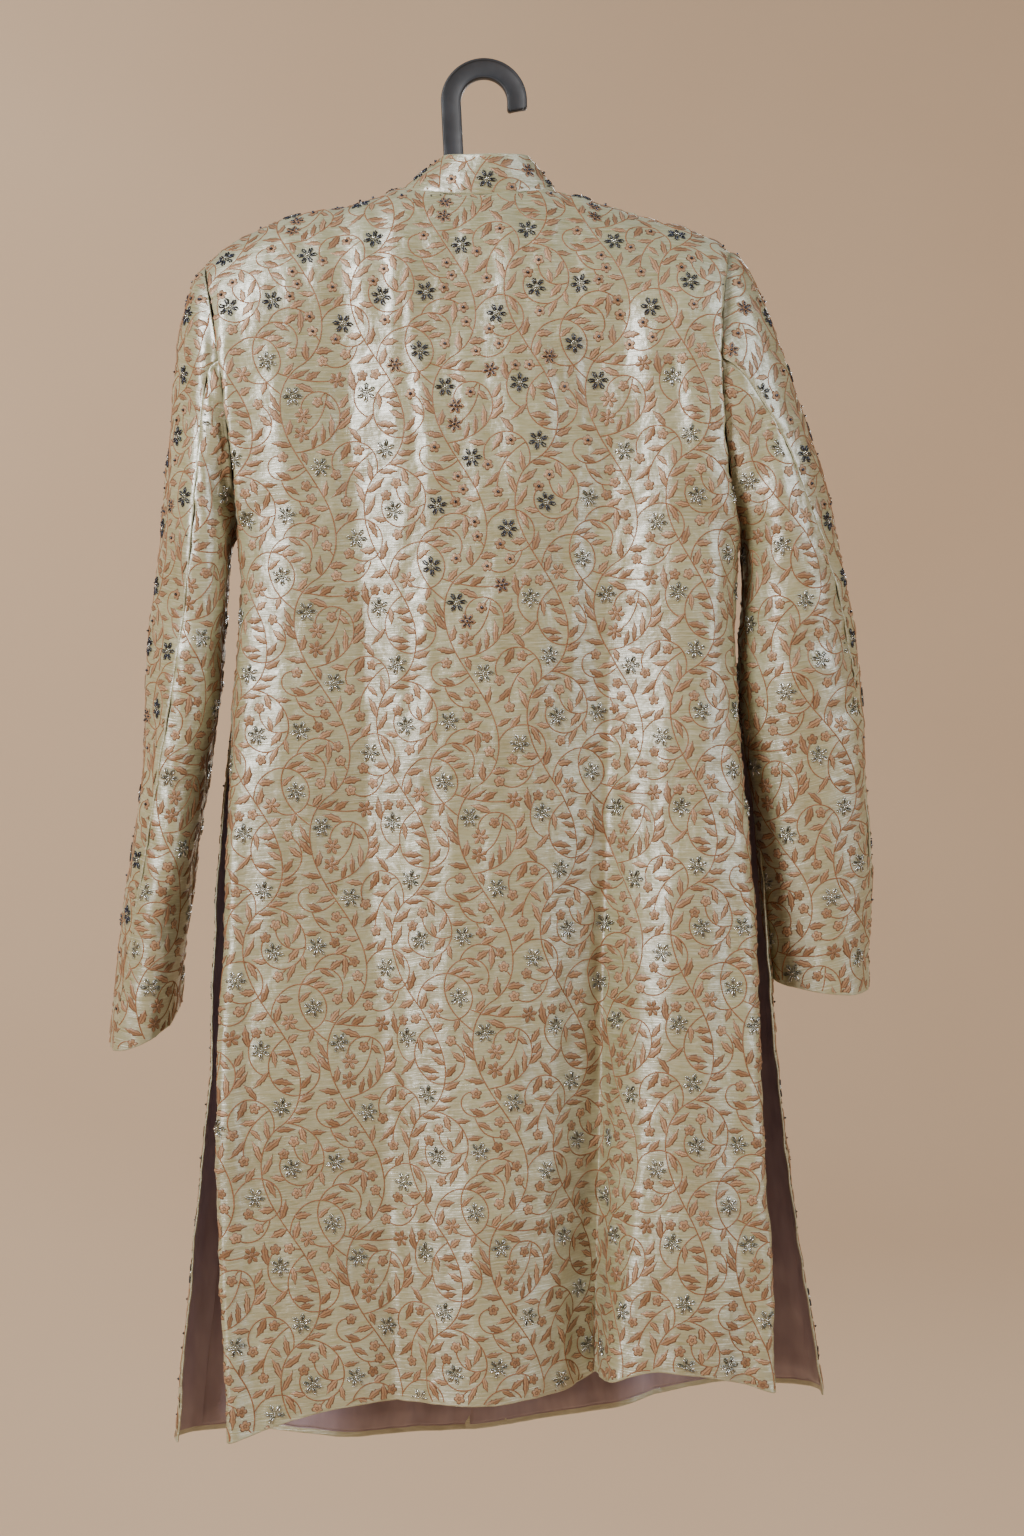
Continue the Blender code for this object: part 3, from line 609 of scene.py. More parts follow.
@dataclass(frozen=True)
class SleeveCut:
    """The surface that a sleeve's two pieces are bent onto."""

    side: Side
    rings: Table
    forearm_deg: float = -100.0
    seam_pull: float = 0.08
    armhole_pull: float = 0.15
    radius: float = 40.0
    ring_pitch: float = 12.0
    widths: dict[SleevePart, float] = field(
        default_factory=lambda: {SleevePart.TOP: 150.0, SleevePart.UNDER: 145.0}
    )

    def points(self, angle: Array, ring: Array) -> Array:
        """Points of the sleeve: each ring is an ellipse, swung, tilted and bowed by its row.

        Args:
            angle: Radians from the outer line towards the back.
            ring: Row number in the table, whole or between two rows.

        Returns:
            Points in millimetres.
        """
        knots = np.arange(float(len(self.rings.rows)))
        in_x, in_z, out_x, out_z, mid_y, half_y, bow, lift, turn = (
            smooth(ring, knots, column) for column in self.rings.rows.T[:-1]
        )
        cos, sin, turn = np.cos(angle), np.sin(angle), np.radians(turn)
        off_x, off_y = (out_x - in_x) / 2 * cos, -half_y * sin
        x = (in_x + out_x) / 2 + off_x * np.cos(turn) - off_y * np.sin(turn)
        y = mid_y + off_x * np.sin(turn) + off_y * np.cos(turn)
        z = (in_z + out_z) / 2 + ((out_z - in_z) / 2 * cos - lift * sin)
        return np.stack([x + bow * sin * sin, y, z], axis=-1)

    def grid(self, part: SleevePart, step: float) -> Array:
        """One piece's points, between the hindarm and the forearm seams.

        Args:
            part: Top or under sleeve.
            step: Pitch away from the edges.

        Returns:
            Points, from the armhole down to the cuff.
        """
        last = len(self.rings.rows) - 1.0
        fine = np.linspace(self.armhole_pull / self.ring_pitch, last, 400)
        middle = self.points(np.full_like(fine, math.pi / 2), fine)
        length = lengths(middle)
        tight = ((0.0, *AT_ARMHOLE), (length[-1], *AT_EDGE))
        ring_at = np.interp(spaced(0.0, length[-1], step, tight), length, fine)
        width = self.widths[part]
        sides = [(at, *AT_SLEEVE_SEAM) for at in (0.0, width)]
        across = spaced(0.0, width, step, sides) / width
        ring, across = np.meshgrid(ring_at, across, indexing="ij")
        seam = smooth(ring, np.arange(last + 1.0), self.rings.column("seam_deg"))
        gap = math.degrees(self.seam_pull / self.radius)
        if part is SleevePart.TOP:
            low, high = self.forearm_deg + gap, seam - gap
        else:
            low, high = seam + gap, 360.0 + self.forearm_deg - gap
        points = self.points(np.radians(low + (high - low) * across), ring)
        return points if self.side is Side.LEFT else points[:, ::-1]


SLEEVE_CUTS = (
    SleeveCut(Side.LEFT, Table("""in_x in_z out_x out_z mid_y half_y bow lift turn seam_deg
    -213 -397 -244 -162 0 60 7 0 0 78
    -216 -402 -253 -173 0 61.5 5 0 0 78
    -218.5 -409 -262 -207 0 62 3 0 3 78
    -220 -418 -268 -250 0 62 1 0 6 77
    -221 -431 -273 -300 0 63 0 1 8 77
    -222.5 -449 -279 -355 0 63 0 2 10 76
    -225 -474 -284 -412 1 62 0 3 10 76
    -228 -505 -288.5 -465 3 60 0 4 9 73
    -232 -548 -293.5 -528 6 58 0 6 8 68
    -243 -607 -301 -601 11 56 0 9 6 62
    -254.5 -680 -310.5 -682 18 54 0 12 4 56
    -263 -750 -320 -760 26 53 0 14 2 50
    -270 -815 -331.5 -842 34 52 0 15 0 46""")),
    SleeveCut(Side.RIGHT, Table("""in_x in_z out_x out_z mid_y half_y bow lift turn seam_deg
    222 -399 213 -151 0 60 -14 0 0 80
    224 -404 225 -160 0 61 -10 0 0 80
    226 -411 242 -191 0 61 -5 0 0 78
    227 -420 258 -232 0 59 -2 0 0 74
    227.5 -433 274 -281 0 58 0 0 0 66
    227 -452 290 -330 0 57 0 1 -2 58
    225 -478 303 -377 1 56 0 2 -4 48
    223 -514 315 -435 3 54 0 3 -4 36
    225 -562 326 -508 6 50 0 4 -3 26
    232.5 -612 334 -578 10 46 0 5 -2 20
    239 -664 338.5 -645 15 42 0 6 0 17
    245 -724 340.5 -718 21 38 0 7 0 15
    251.5 -785 340.5 -796 26 36 0 8 0 13""")),
)


@dataclass(frozen=True)
class CollarCut:
    """The stand collar's surface, from the neck seam to its top edge."""

    body: BodyCut
    centre_x: float = 1.5
    half_width: float = 39.0
    back_y: float = -33.0
    front_y: float = 40.0
    back_z: float = -73.5
    side_rise: float = 4.0
    front_fall: float = 50.0
    lift: float = 0.3
    end_deg: float = 176.0
    corner_deg: float = 12.0
    corner_drop: float = 0.3

    def points(self, angle: Array, rise: Array) -> Array:
        """Points of the collar: straight lines from the neck seam up to an oval top edge.

        Args:
            angle: Radians from the centre back towards the right.
            rise: 0 at the neck seam and 1 at the top edge.

        Returns:
            Points in millimetres.
        """
        body = self.body
        sin, cos = np.sin(angle), np.cos(angle)
        base_x = body.neck_centre + body.neck_half * sin
        ridge = body.ridge_z(base_x)
        at_back = cos >= 0
        low = {f: body.top_z(f, base_x) for f in Facing}
        out = {f: body.middle_y(f, ridge, low[f])[0] + f.value * body.seam_pull for f in Facing}
        base_y = np.where(at_back, out[Facing.BACK], out[Facing.FRONT])
        base_z = np.where(at_back, low[Facing.BACK], low[Facing.FRONT]) + self.lift
        top_x = self.centre_x + self.half_width * sin
        top_y = np.where(at_back, self.back_y, -self.front_y) * cos
        fall = self.front_fall * np.clip(-cos, 0.0, 1.0) ** body.front_shape
        top_z = self.back_z + self.side_rise * sin**2 - fall
        end = (np.abs(np.degrees(angle)) - self.end_deg + self.corner_deg) / self.corner_deg
        corner = 1 - np.sqrt(1 - np.clip(end, 0.0, 1.0) ** 2)
        rise = rise * (1 - self.corner_drop * corner)
        foot = np.stack(np.broadcast_arrays(base_x, base_y, base_z), axis=-1)
        top = np.stack(np.broadcast_arrays(top_x, top_y, top_z), axis=-1)
        return foot + (top - foot) * rise[..., None]


# --- cloth -------------------------------------------------------------------------------

# The springs of a grid: for each kind, the cells that its two ends are in.
ALL, FIRST, LAST = slice(None), slice(None, -1), slice(1, None)
SPRINGS = (
    ((ALL, FIRST), (ALL, LAST)),
    ((FIRST, ALL), (LAST, ALL)),
    ((FIRST, FIRST), (LAST, LAST)),
    ((FIRST, LAST), (LAST, FIRST)),
)


def relaxed(flat: Array, points: Array, rounds: int, rate: float = 0.4) -> Array:
    """Moves a flat grid until its springs have the lengths that they have on the bent one.

    Args:
        flat: Flat places.
        points: The same grid's bent places.
        rounds: Number of moves.
        rate: Share of each spring's pull that a move takes up, under 0.5.

    Returns:
        The new flat places.
    """
    bent = [np.linalg.norm(points[b] - points[a], axis=-1, keepdims=True) for a, b in SPRINGS]
    for _ in range(rounds):
        pull = np.zeros_like(flat)
        for (a, b), length in zip(SPRINGS, bent):
            gap = flat[b] - flat[a]
            half = gap * (0.5 - 0.5 * length / np.linalg.norm(gap, axis=-1, keepdims=True))
            pull[a] += half
            pull[b] -= half
        flat = flat + rate * pull
    return flat


def rolled_out(
    points: Array, row: int, start: Array, strip_rows: int = 8, rounds: int = 60
) -> Array:
    """Rolls a bent grid out flat, row by row, from one row whose flat places are known.

    Each new point keeps its length along the row before it and its length square to it.
    Then the last few rows are relaxed.

    Args:
        points: The grid's bent places.
        row: The row to start from.
        start: That row's flat places.
        strip_rows: Number of rows that are relaxed.
        rounds: Number of moves of the relaxing.

    Returns:
        Flat places of the whole grid.
    """
    flat = np.zeros((*points.shape[:2], 2))
    flat[row] = start
    for way, rows in ((-1, range(row - 1, -1, -1)), (1, range(row + 1, len(points)))):
        for k in rows:
            last = points[k - way]
            bent_along, along = (normed(np.gradient(x, axis=0)) for x in (last, flat[k - way]))
            step = points[k] - last
            out = (step * bent_along).sum(axis=1, keepdims=True)
            square = np.linalg.norm(step - out * bent_along, axis=1, keepdims=True)
            flat[k] = flat[k - way] + out * along + way * square * along[:, ::-1] * (-1, 1)
            if way < 0:
                strip = slice(k, min(k + strip_rows, row + 1))
            else:
                strip = slice(max(k + 1 - strip_rows, 0), k + 1)
            flat[strip] = relaxed(flat[strip], points[strip], rounds)
    return flat


@dataclass(frozen=True)
class FlatChart:
    """Flat coordinates of a bent grid, as its cloth lay before it was cut.

    s is the length across the columns, to the right from the origin's column, and t is
    the length down the columns, which equals the depth below the hook at the origin.
    """

    s: Array
    t: Array

    @classmethod
    def lay(cls, points: Array, row: int, column: int) -> FlatChart:
        """Measures a grid square to its columns and along them.

        Args:
            points: The bent grid.
            row: The origin's row.
            column: The origin's column.

        Returns:
            The chart.
        """
        down = normed(np.gradient(points, axis=0))
        middle = normed(down[:, 1:] + down[:, :-1])
        steps = np.linalg.norm(np.cross(np.diff(points, axis=1), middle), axis=-1)
        s = np.pad(np.cumsum(steps, axis=1), ((0, 0), (1, 0)))
        fall = np.linalg.norm(np.diff(points, axis=0), axis=-1)
        t = np.pad(np.cumsum(fall, axis=0), ((1, 0), (0, 0)))
        return cls(s - s[:, column : column + 1], t - t[row] - points[row, column, 2])

    def evened(self, points: Array, row: int, pitch: float = 15.0, rounds: int = 800) -> FlatChart:
        """The chart with its strain evened out, as cloth settles when it is pressed flat.

        Points an even pitch apart are rolled out flat from one row, and then relaxed. The
        moves are spread over the points between them.

        Args:
            points: The grid that the chart was measured on.
            row: The row that is rolled out from.
            pitch: Length between the points that are relaxed.
            rounds: Number of moves of the relaxing.

        Returns:
            The new chart.
        """
        flat = np.stack([np.broadcast_to(self.s[row], self.s.shape), self.t], axis=-1)
        down, across = self.t.mean(axis=1), self.s[row]
        i, j = (
            np.unique(np.searchsorted(way, np.linspace(way[0], way[-1], max(3, int(size)))))
            for way, size in ((down, np.ptp(down) / pitch), (across, np.ptp(across) / pitch))
        )
        before, bent = flat[np.ix_(i, j)], points[np.ix_(i, j)]
        near = int(np.argmin(np.abs(i - row)))
        moved = relaxed(rolled_out(bent, near, before[near]), bent, rounds) - before
        row = np.interp(down, down[i], np.arange(float(len(i))))
        column = np.interp(across, across[j], np.arange(float(len(j))))
        flat += sample(moved, *np.meshgrid(row, column, indexing="ij"))
        return FlatChart(flat[..., 0], flat[..., 1])

    def edge_distances(self) -> dict[str, Array]:
        """Length from each of the four edges to every point.

        Returns:
            The lengths, by the edge's name.
        """
        return {
            "top": self.t - self.t[:1],
            "bottom": self.t[-1:] - self.t,
            "left": self.s - self.s[:, :1],
            "right": self.s[:, -1:] - self.s,
        }

    def locate(self, s: Array, t: Array, pitch: float = 1.5, pad: int = 8) -> tuple[Array, Array]:
        """Fractional rows and columns of flat points; not a number off the cloth.

        The chart, drawn on past its edges, is turned round on an even lattice: first down
        every column, then along every level of t.

        Args:
            s: Flat coordinates to the right.
            t: Flat coordinates downwards.
            pitch: Pitch of the lattice.
            pad: Number of cells that the chart is drawn on past its edges.

        Returns:
            Rows and columns.
        """
        wide_s = np.pad(self.s, pad, mode="reflect", reflect_type="odd")
        wide_t = np.pad(self.t, pad, mode="reflect", reflect_type="odd")
        rows, columns = wide_s.shape
        t_at = np.arange(wide_t.min(), wide_t.max() + pitch, pitch)
        s_at = np.arange(wide_s.min(), wide_s.max() + pitch, pitch)
        row_at = np.empty((len(t_at), columns))
        s_there = np.empty_like(row_at)
        index = np.arange(float(rows))
        for j in range(columns):
            row_at[:, j] = np.interp(t_at, wide_t[:, j], index, np.nan, np.nan)
            s_there[:, j] = np.interp(t_at, wide_t[:, j], wide_s[:, j])
        lattice = np.full((len(t_at), len(s_at), 2), np.nan)
        for k in range(len(t_at)):
            on = np.flatnonzero(~np.isnan(row_at[k]))
            if len(on) > 1:
                across = np.interp(s_at, s_there[k, on], on.astype(float), np.nan, np.nan)
                down = np.interp(s_at, s_there[k, on], row_at[k, on], np.nan, np.nan)
                lattice[k] = np.stack([down, across], axis=-1)
        inside = (t > t_at[0]) & (t < t_at[-1]) & (s > s_at[0]) & (s < s_at[-1])
        k = np.where(inside, (t - t_at[0]) / pitch, 0.0)
        m = np.where(inside, (s - s_at[0]) / pitch, 0.0)
        found = sample(lattice, k, m) - pad
        found[~inside] = np.nan
        return found[..., 0], found[..., 1]


@dataclass(frozen=True)
class Crease:
    """A soft trough (depth over 0) or ridge (under 0) between two places seen level on."""

    x0: float
    z0: float
    x1: float
    z1: float
    depth: float
    spread: float

    def at(self, points: Array) -> Array:
        """Depth at each point: a bell across the line that tapers off towards both its ends.

        Args:
            points: The panel's points.

        Returns:
            Depths in millimetres.
        """
        run, rise = self.x1 - self.x0, self.z1 - self.z0
        length = math.hypot(run, rise)
        x, z = points[..., 0] - self.x0, points[..., 2] - self.z0
        along = (x * run + z * rise) / length**2
        away = (x * rise - z * run) / length / self.spread
        taper = np.sin(math.pi * np.clip(along, 0.0, 1.0))
        return self.depth * taper * np.exp(-(away**2))


@dataclass(frozen=True)
class Ripple:
    """Uneven relief all over a panel: usual wavelengths across and down, and its height."""

    seed: int
    across: float
    down: float
    height: float


@dataclass(frozen=True)
class Seams:
    """How much each edge of a panel is a seam: 1 where it is joined, 0 where it hangs free."""

    top: Array | float = 0.0
    bottom: Array | float = 0.0
    left: Array | float = 0.0
    right: Array | float = 0.0

    def along(self, edge: str, shape: tuple[int, ...]) -> Array:
        """An edge's share of seam, spread over the whole panel.

        Args:
            edge: Name of the edge.
            shape: Rows and columns of the panel.

        Returns:
            Shares from 0 to 1.
        """
        share = np.asarray(getattr(self, edge), dtype=float)
        return np.broadcast_to(share[:, None] if share.ndim else share, shape)


@dataclass
class ClothPanel:
    """A panel of cloth: the surface it hangs on, its seams, and the relief worked into it."""

    name: str
    base: Array
    seams: Seams
    origin: tuple[int, int]
    wall: float = CLOTH_WALL
    ripples: tuple[Ripple, ...] = ()
    creases: Table | None = None
    seam_depth: float = 0.3
    seam_spread: float = 1.1
    pucker: float = 0.4
    pucker_reach: float = 9.0
    turn_up: float = 22.0
    turn_up_rise: float = 0.4
    turn_up_step: float = 5.0
    facing_width: float = 8.0
    rim_round: float = 0.28  # how far the rim stands out, as a share of the wall
    chart: FlatChart = field(init=False)
    pattern: FlatChart = field(init=False)
    points: Array = field(init=False)
    normals: Array = field(init=False)

    def __post_init__(self) -> None:
        """Lays the panel flat, then works its relief in."""
        self.chart = FlatChart.lay(self.base, *self.origin)
        self.pattern = self.chart.evened(self.base, self.origin[0])
        out = unit_normals(self.base)
        self.points = self.base + self.relief()[..., None] * out
        self.normals = unit_normals(self.points)

    def relief(self) -> Array:
        """Height over the base surface.

        A seam rolls its edge in along a bell curve and gathers small puckers beside it. A
        free edge is turned up, so it stands out by a thin step. Ripples and creases add
        their own heights.

        Returns:
            Heights in millimetres.
        """
        s, t = self.chart.s, self.chart.t
        height = np.zeros_like(s)
        for edge, away in self.chart.edge_distances().items():
            share = self.seams.along(edge, s.shape)
            level = edge in ("top", "bottom")
            along = self.base[..., 0 if level else 2]
            gathers = waves(along, np.zeros_like(along), 61 if level else 62, 17.0, 1.0)
            height -= share * self.seam_depth * np.exp(-((away / self.seam_spread) ** 2))
            height += share * self.pucker * gathers * np.exp(-away / self.pucker_reach)
            step = ease((self.turn_up - away) / self.turn_up_step)
            height += (1 - share) * self.turn_up_rise * step
        for ripple in self.ripples:
            height += ripple.height * waves(s, t, ripple.seed, ripple.across, ripple.down)
        for row in self.creases.rows if self.creases else ():
            height -= Crease(*row).at(self.base)
        return height

    def flat_size(self) -> tuple[float, float, float]:
        """The flat cut, where each cell's area is its width in s times its length in t.

        Returns:
            Its width and length in metres, and its area in square metres.
        """
        s, t = self.chart.s * MM, self.chart.t * MM
        across, down = np.diff(s, axis=1), np.diff(t, axis=0)
        area = ((across[1:] + across[:-1]) * (down[:, 1:] + down[:, :-1]) / 4).sum()
        return np.ptp(s), np.ptp(t), min(area, np.ptp(s) * np.ptp(t))

    def shell(self, cloth: Material, inside: Material) -> Object:
        """The cloth with its wall: an outer and an inner layer round a rounded rim.

        The inner layer is the outer one moved back along its normals, and the rim's middle
        line stands out between them. The edges keep a facing of the cloth inside.

        Args:
            cloth: Finish of the outside, the rim and the facing.
            inside: Finish of the inner layer.

        Returns:
            The panel's object.
        """
        rows, columns = self.points.shape[:2]
        count = rows * columns
        index = np.arange(count).reshape(rows, columns)
        loop, inward = (self.rim(index, inset) for inset in (0, 1))
        outer = self.points.reshape(-1, 3)
        inner = (self.points - self.wall * self.normals).reshape(-1, 3)
        outwards = normed(outer[loop] - outer[inward])
        middle = (outer[loop] + inner[loop]) / 2 + outwards * self.wall * self.rim_round
        points = np.concatenate([outer, inner, middle])
        front = grid_faces(rows, columns)
        rim = 2 * count + np.arange(len(loop))
        after, rim_after = np.roll(loop, -1), np.roll(rim, -1)
        rims = [
            np.stack([loop, after, rim_after, rim], axis=1),
            np.stack([rim, rim_after, after + count, loop + count], axis=1),
        ]
        near = np.minimum.reduce(list(self.chart.edge_distances().values()))
        far = (near[:-1, :-1] + near[1:, 1:]).ravel() / 2 > self.facing_width
        which = np.concatenate([np.zeros(len(front)), far, np.zeros(2 * len(loop))])
        flat = np.stack([self.pattern.s, -self.pattern.t], axis=-1).reshape(-1, 2)
        uv = np.concatenate([flat, flat, flat[loop]]) * MM
        faces = [front, front[:, ::-1] + count, *rims]
        return add_piece(self.name, points, faces, (cloth, inside), uv, which)

    @staticmethod
    def rim(index: Array, inset: int) -> Array:
        """The points round a grid of points, each moved a number of cells in from its edge."""
        sides = index[inset], index[1:, -1 - inset], index[-1 - inset, -2::-1]
        return np.concatenate([*sides, index[-2:0:-1, inset]])


def add_piece(
    name: str,
    points: Array,
    faces: Sequence[Array],
    finishes: Sequence[Material],
    uv: Array | None = None,
    which: Array | None = None,
    tone: Array | None = None,
) -> Object:
    """Makes a smooth mesh object whose place is in its mesh.

    Args:
        name: Name of the object and of its mesh.
        points: Vertices, in millimetres.
        faces: Arrays of vertex numbers, one for each count of corners.
        finishes: Materials of its slots.
        uv: A flat coordinate for each vertex, kept as the UV map "flat".
        which: Slot of each face.
        tone: A number for each vertex, kept as the attribute "tone".

    Returns:
        The object, linked to the scene.
    """
    mesh = bpy.data.meshes.new(name)
    corners = np.concatenate([f.ravel() for f in faces]).astype(np.int32)
    sizes = np.concatenate([np.full(len(f), f.shape[1], dtype=np.int32) for f in faces])
    mesh.vertices.add(len(points))
    mesh.vertices.foreach_set("co", (points * MM).astype(np.float32).ravel())
    mesh.loops.add(len(corners))
    mesh.polygons.add(len(sizes))
    mesh.polygons.foreach_set("loop_start", (np.cumsum(sizes) - sizes).astype(np.int32))
    mesh.polygons.foreach_set("vertices", corners)
    if which is not None:
        mesh.polygons.foreach_set("material_index", which.astype(np.int32))
    if uv is not None:
        layer = mesh.uv_layers.new(name="flat")
        layer.data.foreach_set("uv", uv[corners].astype(np.float32).ravel())
    if tone is not None:
        shade = mesh.attributes.new("tone", "FLOAT", "POINT")
        shade.data.foreach_set("value", tone.astype(np.float32))
    for finish in finishes:
        mesh.materials.append(finish)
    mesh.update(calc_edges=True)
    mesh.shade_smooth()
    made = bpy.data.objects.new(name, mesh)
    bpy.context.scene.collection.objects.link(made)
    log.info("%s: %d points, %d faces", name, len(points), len(sizes))
    return made


def grid_faces(rows: int, columns: int, close: bool = False) -> Array:
    """Quads of a grid whose step down crossed with its step right points outwards.

    Args:
        rows: Points down.
        columns: Points across.
        close: Whether the last column joins the first one.

    Returns:
        Vertex numbers, four for each quad.
    """
    index = np.arange(rows * columns).reshape(rows, columns)
    if close:
        index = np.concatenate([index, index[:, :1]], axis=1)
    quads = [index[:-1, :-1], index[1:, :-1], index[1:, 1:], index[:-1, 1:]]
    return np.stack(quads, axis=-1).reshape(-1, 4)


def capped(grid: Array, poles: Array) -> tuple[Array, list[Array]]:
    """Closes a tube, whose columns go round it, with a pole at each end.

    Args:
        grid: Points, a ring for each row.
        poles: The two poles, first row first.

    Returns:
        Points and faces.
    """
    rows, columns = grid.shape[:2]
    first = np.arange(columns)
    after, last = np.roll(first, -1), (rows - 1) * columns
    pole = np.full(columns, rows * columns)
    caps = np.stack([first, after, pole], 1), np.stack([after + last, first + last, pole + 1], 1)
    points = np.concatenate([grid.reshape(-1, 3), poles])
    return points, [grid_faces(rows, columns, close=True), *caps[: len(poles)]]


# --- finishes ----------------------------------------------------------------------------


def linear(code: str) -> tuple[float, float, float, float]:
    """A colour in linear light.

    Args:
        code: The colour as sRGB hex.

    Returns:
        Red, green, blue and full cover.
    """
    parts = [int(code[k : k + 2], 16) / 255 for k in (1, 3, 5)]
    made = [p / 12.92 if p <= 0.04045 else ((p + 0.055) / 1.055) ** 2.4 for p in parts]
    return made[0], made[1], made[2], 1.0


@dataclass
class Finish:
    """A finish that a Principled shader shows, built up by its subclass."""

    name: str
    tree: bpy.types.NodeTree | None = field(default=None, kw_only=True)

    def make(self) -> Material:
        """The material, with its own nodes in place of the usual ones.

        Returns:
            The material.
        """
        made = bpy.data.materials.new(self.name)
        made.use_nodes = True
        self.tree = made.node_tree
        self.tree.nodes.clear()
        self.node("OutputMaterial", {"Surface": self.shade()}, None)
        return made

    def shade(self) -> NodeSocket:
        """Adds the finish's nodes and returns its shader."""
        raise NotImplementedError

    def node(
        self, kind: str, sockets: dict, out: int | str | None = 0, **settings: object
    ) -> NodeSocket | None:
        """Adds a shader node with its settings and its links.

        Args:
            kind: Name of the node's type, without its first word.
            sockets: Values of its inputs, or outputs of other nodes to link to them.
            out: The output wanted, or None where it has none.
            **settings: Properties of the node.

        Returns:
            The output.
        """
        made = self.tree.nodes.new(f"ShaderNode{kind}")
        for name, value in settings.items():
            setattr(made, name, value)
        for name, value in sockets.items():
            if isinstance(value, NodeSocket):
                self.tree.links.new(value, made.inputs[name])
            else:
                made.inputs[name].default_value = value
        return None if out is None else made.outputs[out]

    def streaks(self, across: float, along: float, low: float, high: float) -> NodeSocket:
        """Soft noise over the flat cloth.

        Args:
            across: Its size along the first flat coordinate, in millimetres.
            along: Its size along the second one.
            low: Noise that turns to 0.
            high: Noise that turns to 1.

        Returns:
            Shares from 0 to 1.
        """
        flat = self.node("UVMap", {}, uv_map="flat")
        sizes = (1 / (across * MM), 1 / (along * MM), 1.0)
        flat = self.node("Mapping", {"Vector": flat, "Scale": sizes})
        noise = self.node("TexNoise", {"Vector": flat, "Scale": 1.0, "Detail": 2.0})
        return self.node("MapRange", {"Value": noise, "From Min": low, "From Max": high})


@dataclass
class RawSilk(Finish):
    """Dupion silk, hand woven on a fine warp with slubbed weft threads.

    The warp lies smooth and shines as a soft broad gleam, pale where it faces the light
    and olive where it turns away. The weft's slubs and lines are painted pale: partly
    their threads' own colour, partly a painted highlight where they catch the gleam.
    """

    name: str = "raw_silk_dupion"
    lit: str = "#9b9869"
    deep: str = "#857e4b"
    # Pale of the weft's lines and slubs: their own thread, partly painted highlight.
    slub_and_gleam: str = "#c8c8ae"
    slub_size: tuple[float, float] = (27.0, 1.2)  # real ones, 0.4 mm wide, are too fine to show
    slub_share: float = 0.65
    weft_size: tuple[float, float] = (12.0, 1.3)
    weft_share: float = 0.45
    thread: float = 0.7  # real threads lie 0.2 mm apart, too close to show
    thread_length: float = 14.0
    cloud: float = 80.0
    gather: float = 13.0
    gather_depth: float = 0.9

    def shade(self) -> NodeSocket:
        """Adds the slubs with painted highlight, the weave, the gathers and the uneven dye.

        Returns:
            The shader.
        """
        node, pale, rgb = self.node, linear(self.slub_and_gleam), {"out": 2, "data_type": "RGBA"}
        slubs = self.streaks(*self.slub_size, 0.53, 0.7)
        weft = self.streaks(*self.weft_size, 0.3, 0.7)
        clouds = self.streaks(self.cloud, self.cloud, 0.35, 0.65)
        warp = self.streaks(self.thread, self.thread_length, 0.3, 0.7)
        gathers = self.streaks(self.gather, self.gather, 0.2, 0.8)
        colour = node("Mix", {0: clouds, 6: linear(self.deep), 7: linear(self.lit)}, **rgb)
        # Weft lines and slubs painted pale: their own paler thread, and painted highlight.
        for threads, share in ((weft, self.weft_share), (slubs, self.slub_share)):
            faint = node("Math", {0: threads, 1: share}, operation="MULTIPLY")
            colour = node("Mix", {0: faint, 6: colour, 7: pale}, **rgb)
        normal = node("Bump", {"Height": gathers, "Distance": self.gather_depth * MM})
        for height, depth in ((warp, 0.03), (weft, 0.06), (slubs, 0.12)):
            normal = node("Bump", {"Height": height, "Distance": depth * MM, "Normal": normal})
        sockets = {
            "Base Color": colour,
            "Roughness": node("MapRange", {"Value": weft, "To Min": 0.38, "To Max": 0.46}),
            "IOR": 2.2,
            "Specular IOR Level": 1.0,
            "Specular Tint": linear("#f4f6f4"),
            "Anisotropic": 0.55,
            "Anisotropic Rotation": 0.25,
            "Tangent": node("Tangent", {}, direction_type="UV_MAP", uv_map="flat"),
            "Sheen Weight": 0.22,
            "Sheen Roughness": 0.4,
            "Normal": normal,
        }
        return node("BsdfPrincipled", sockets)


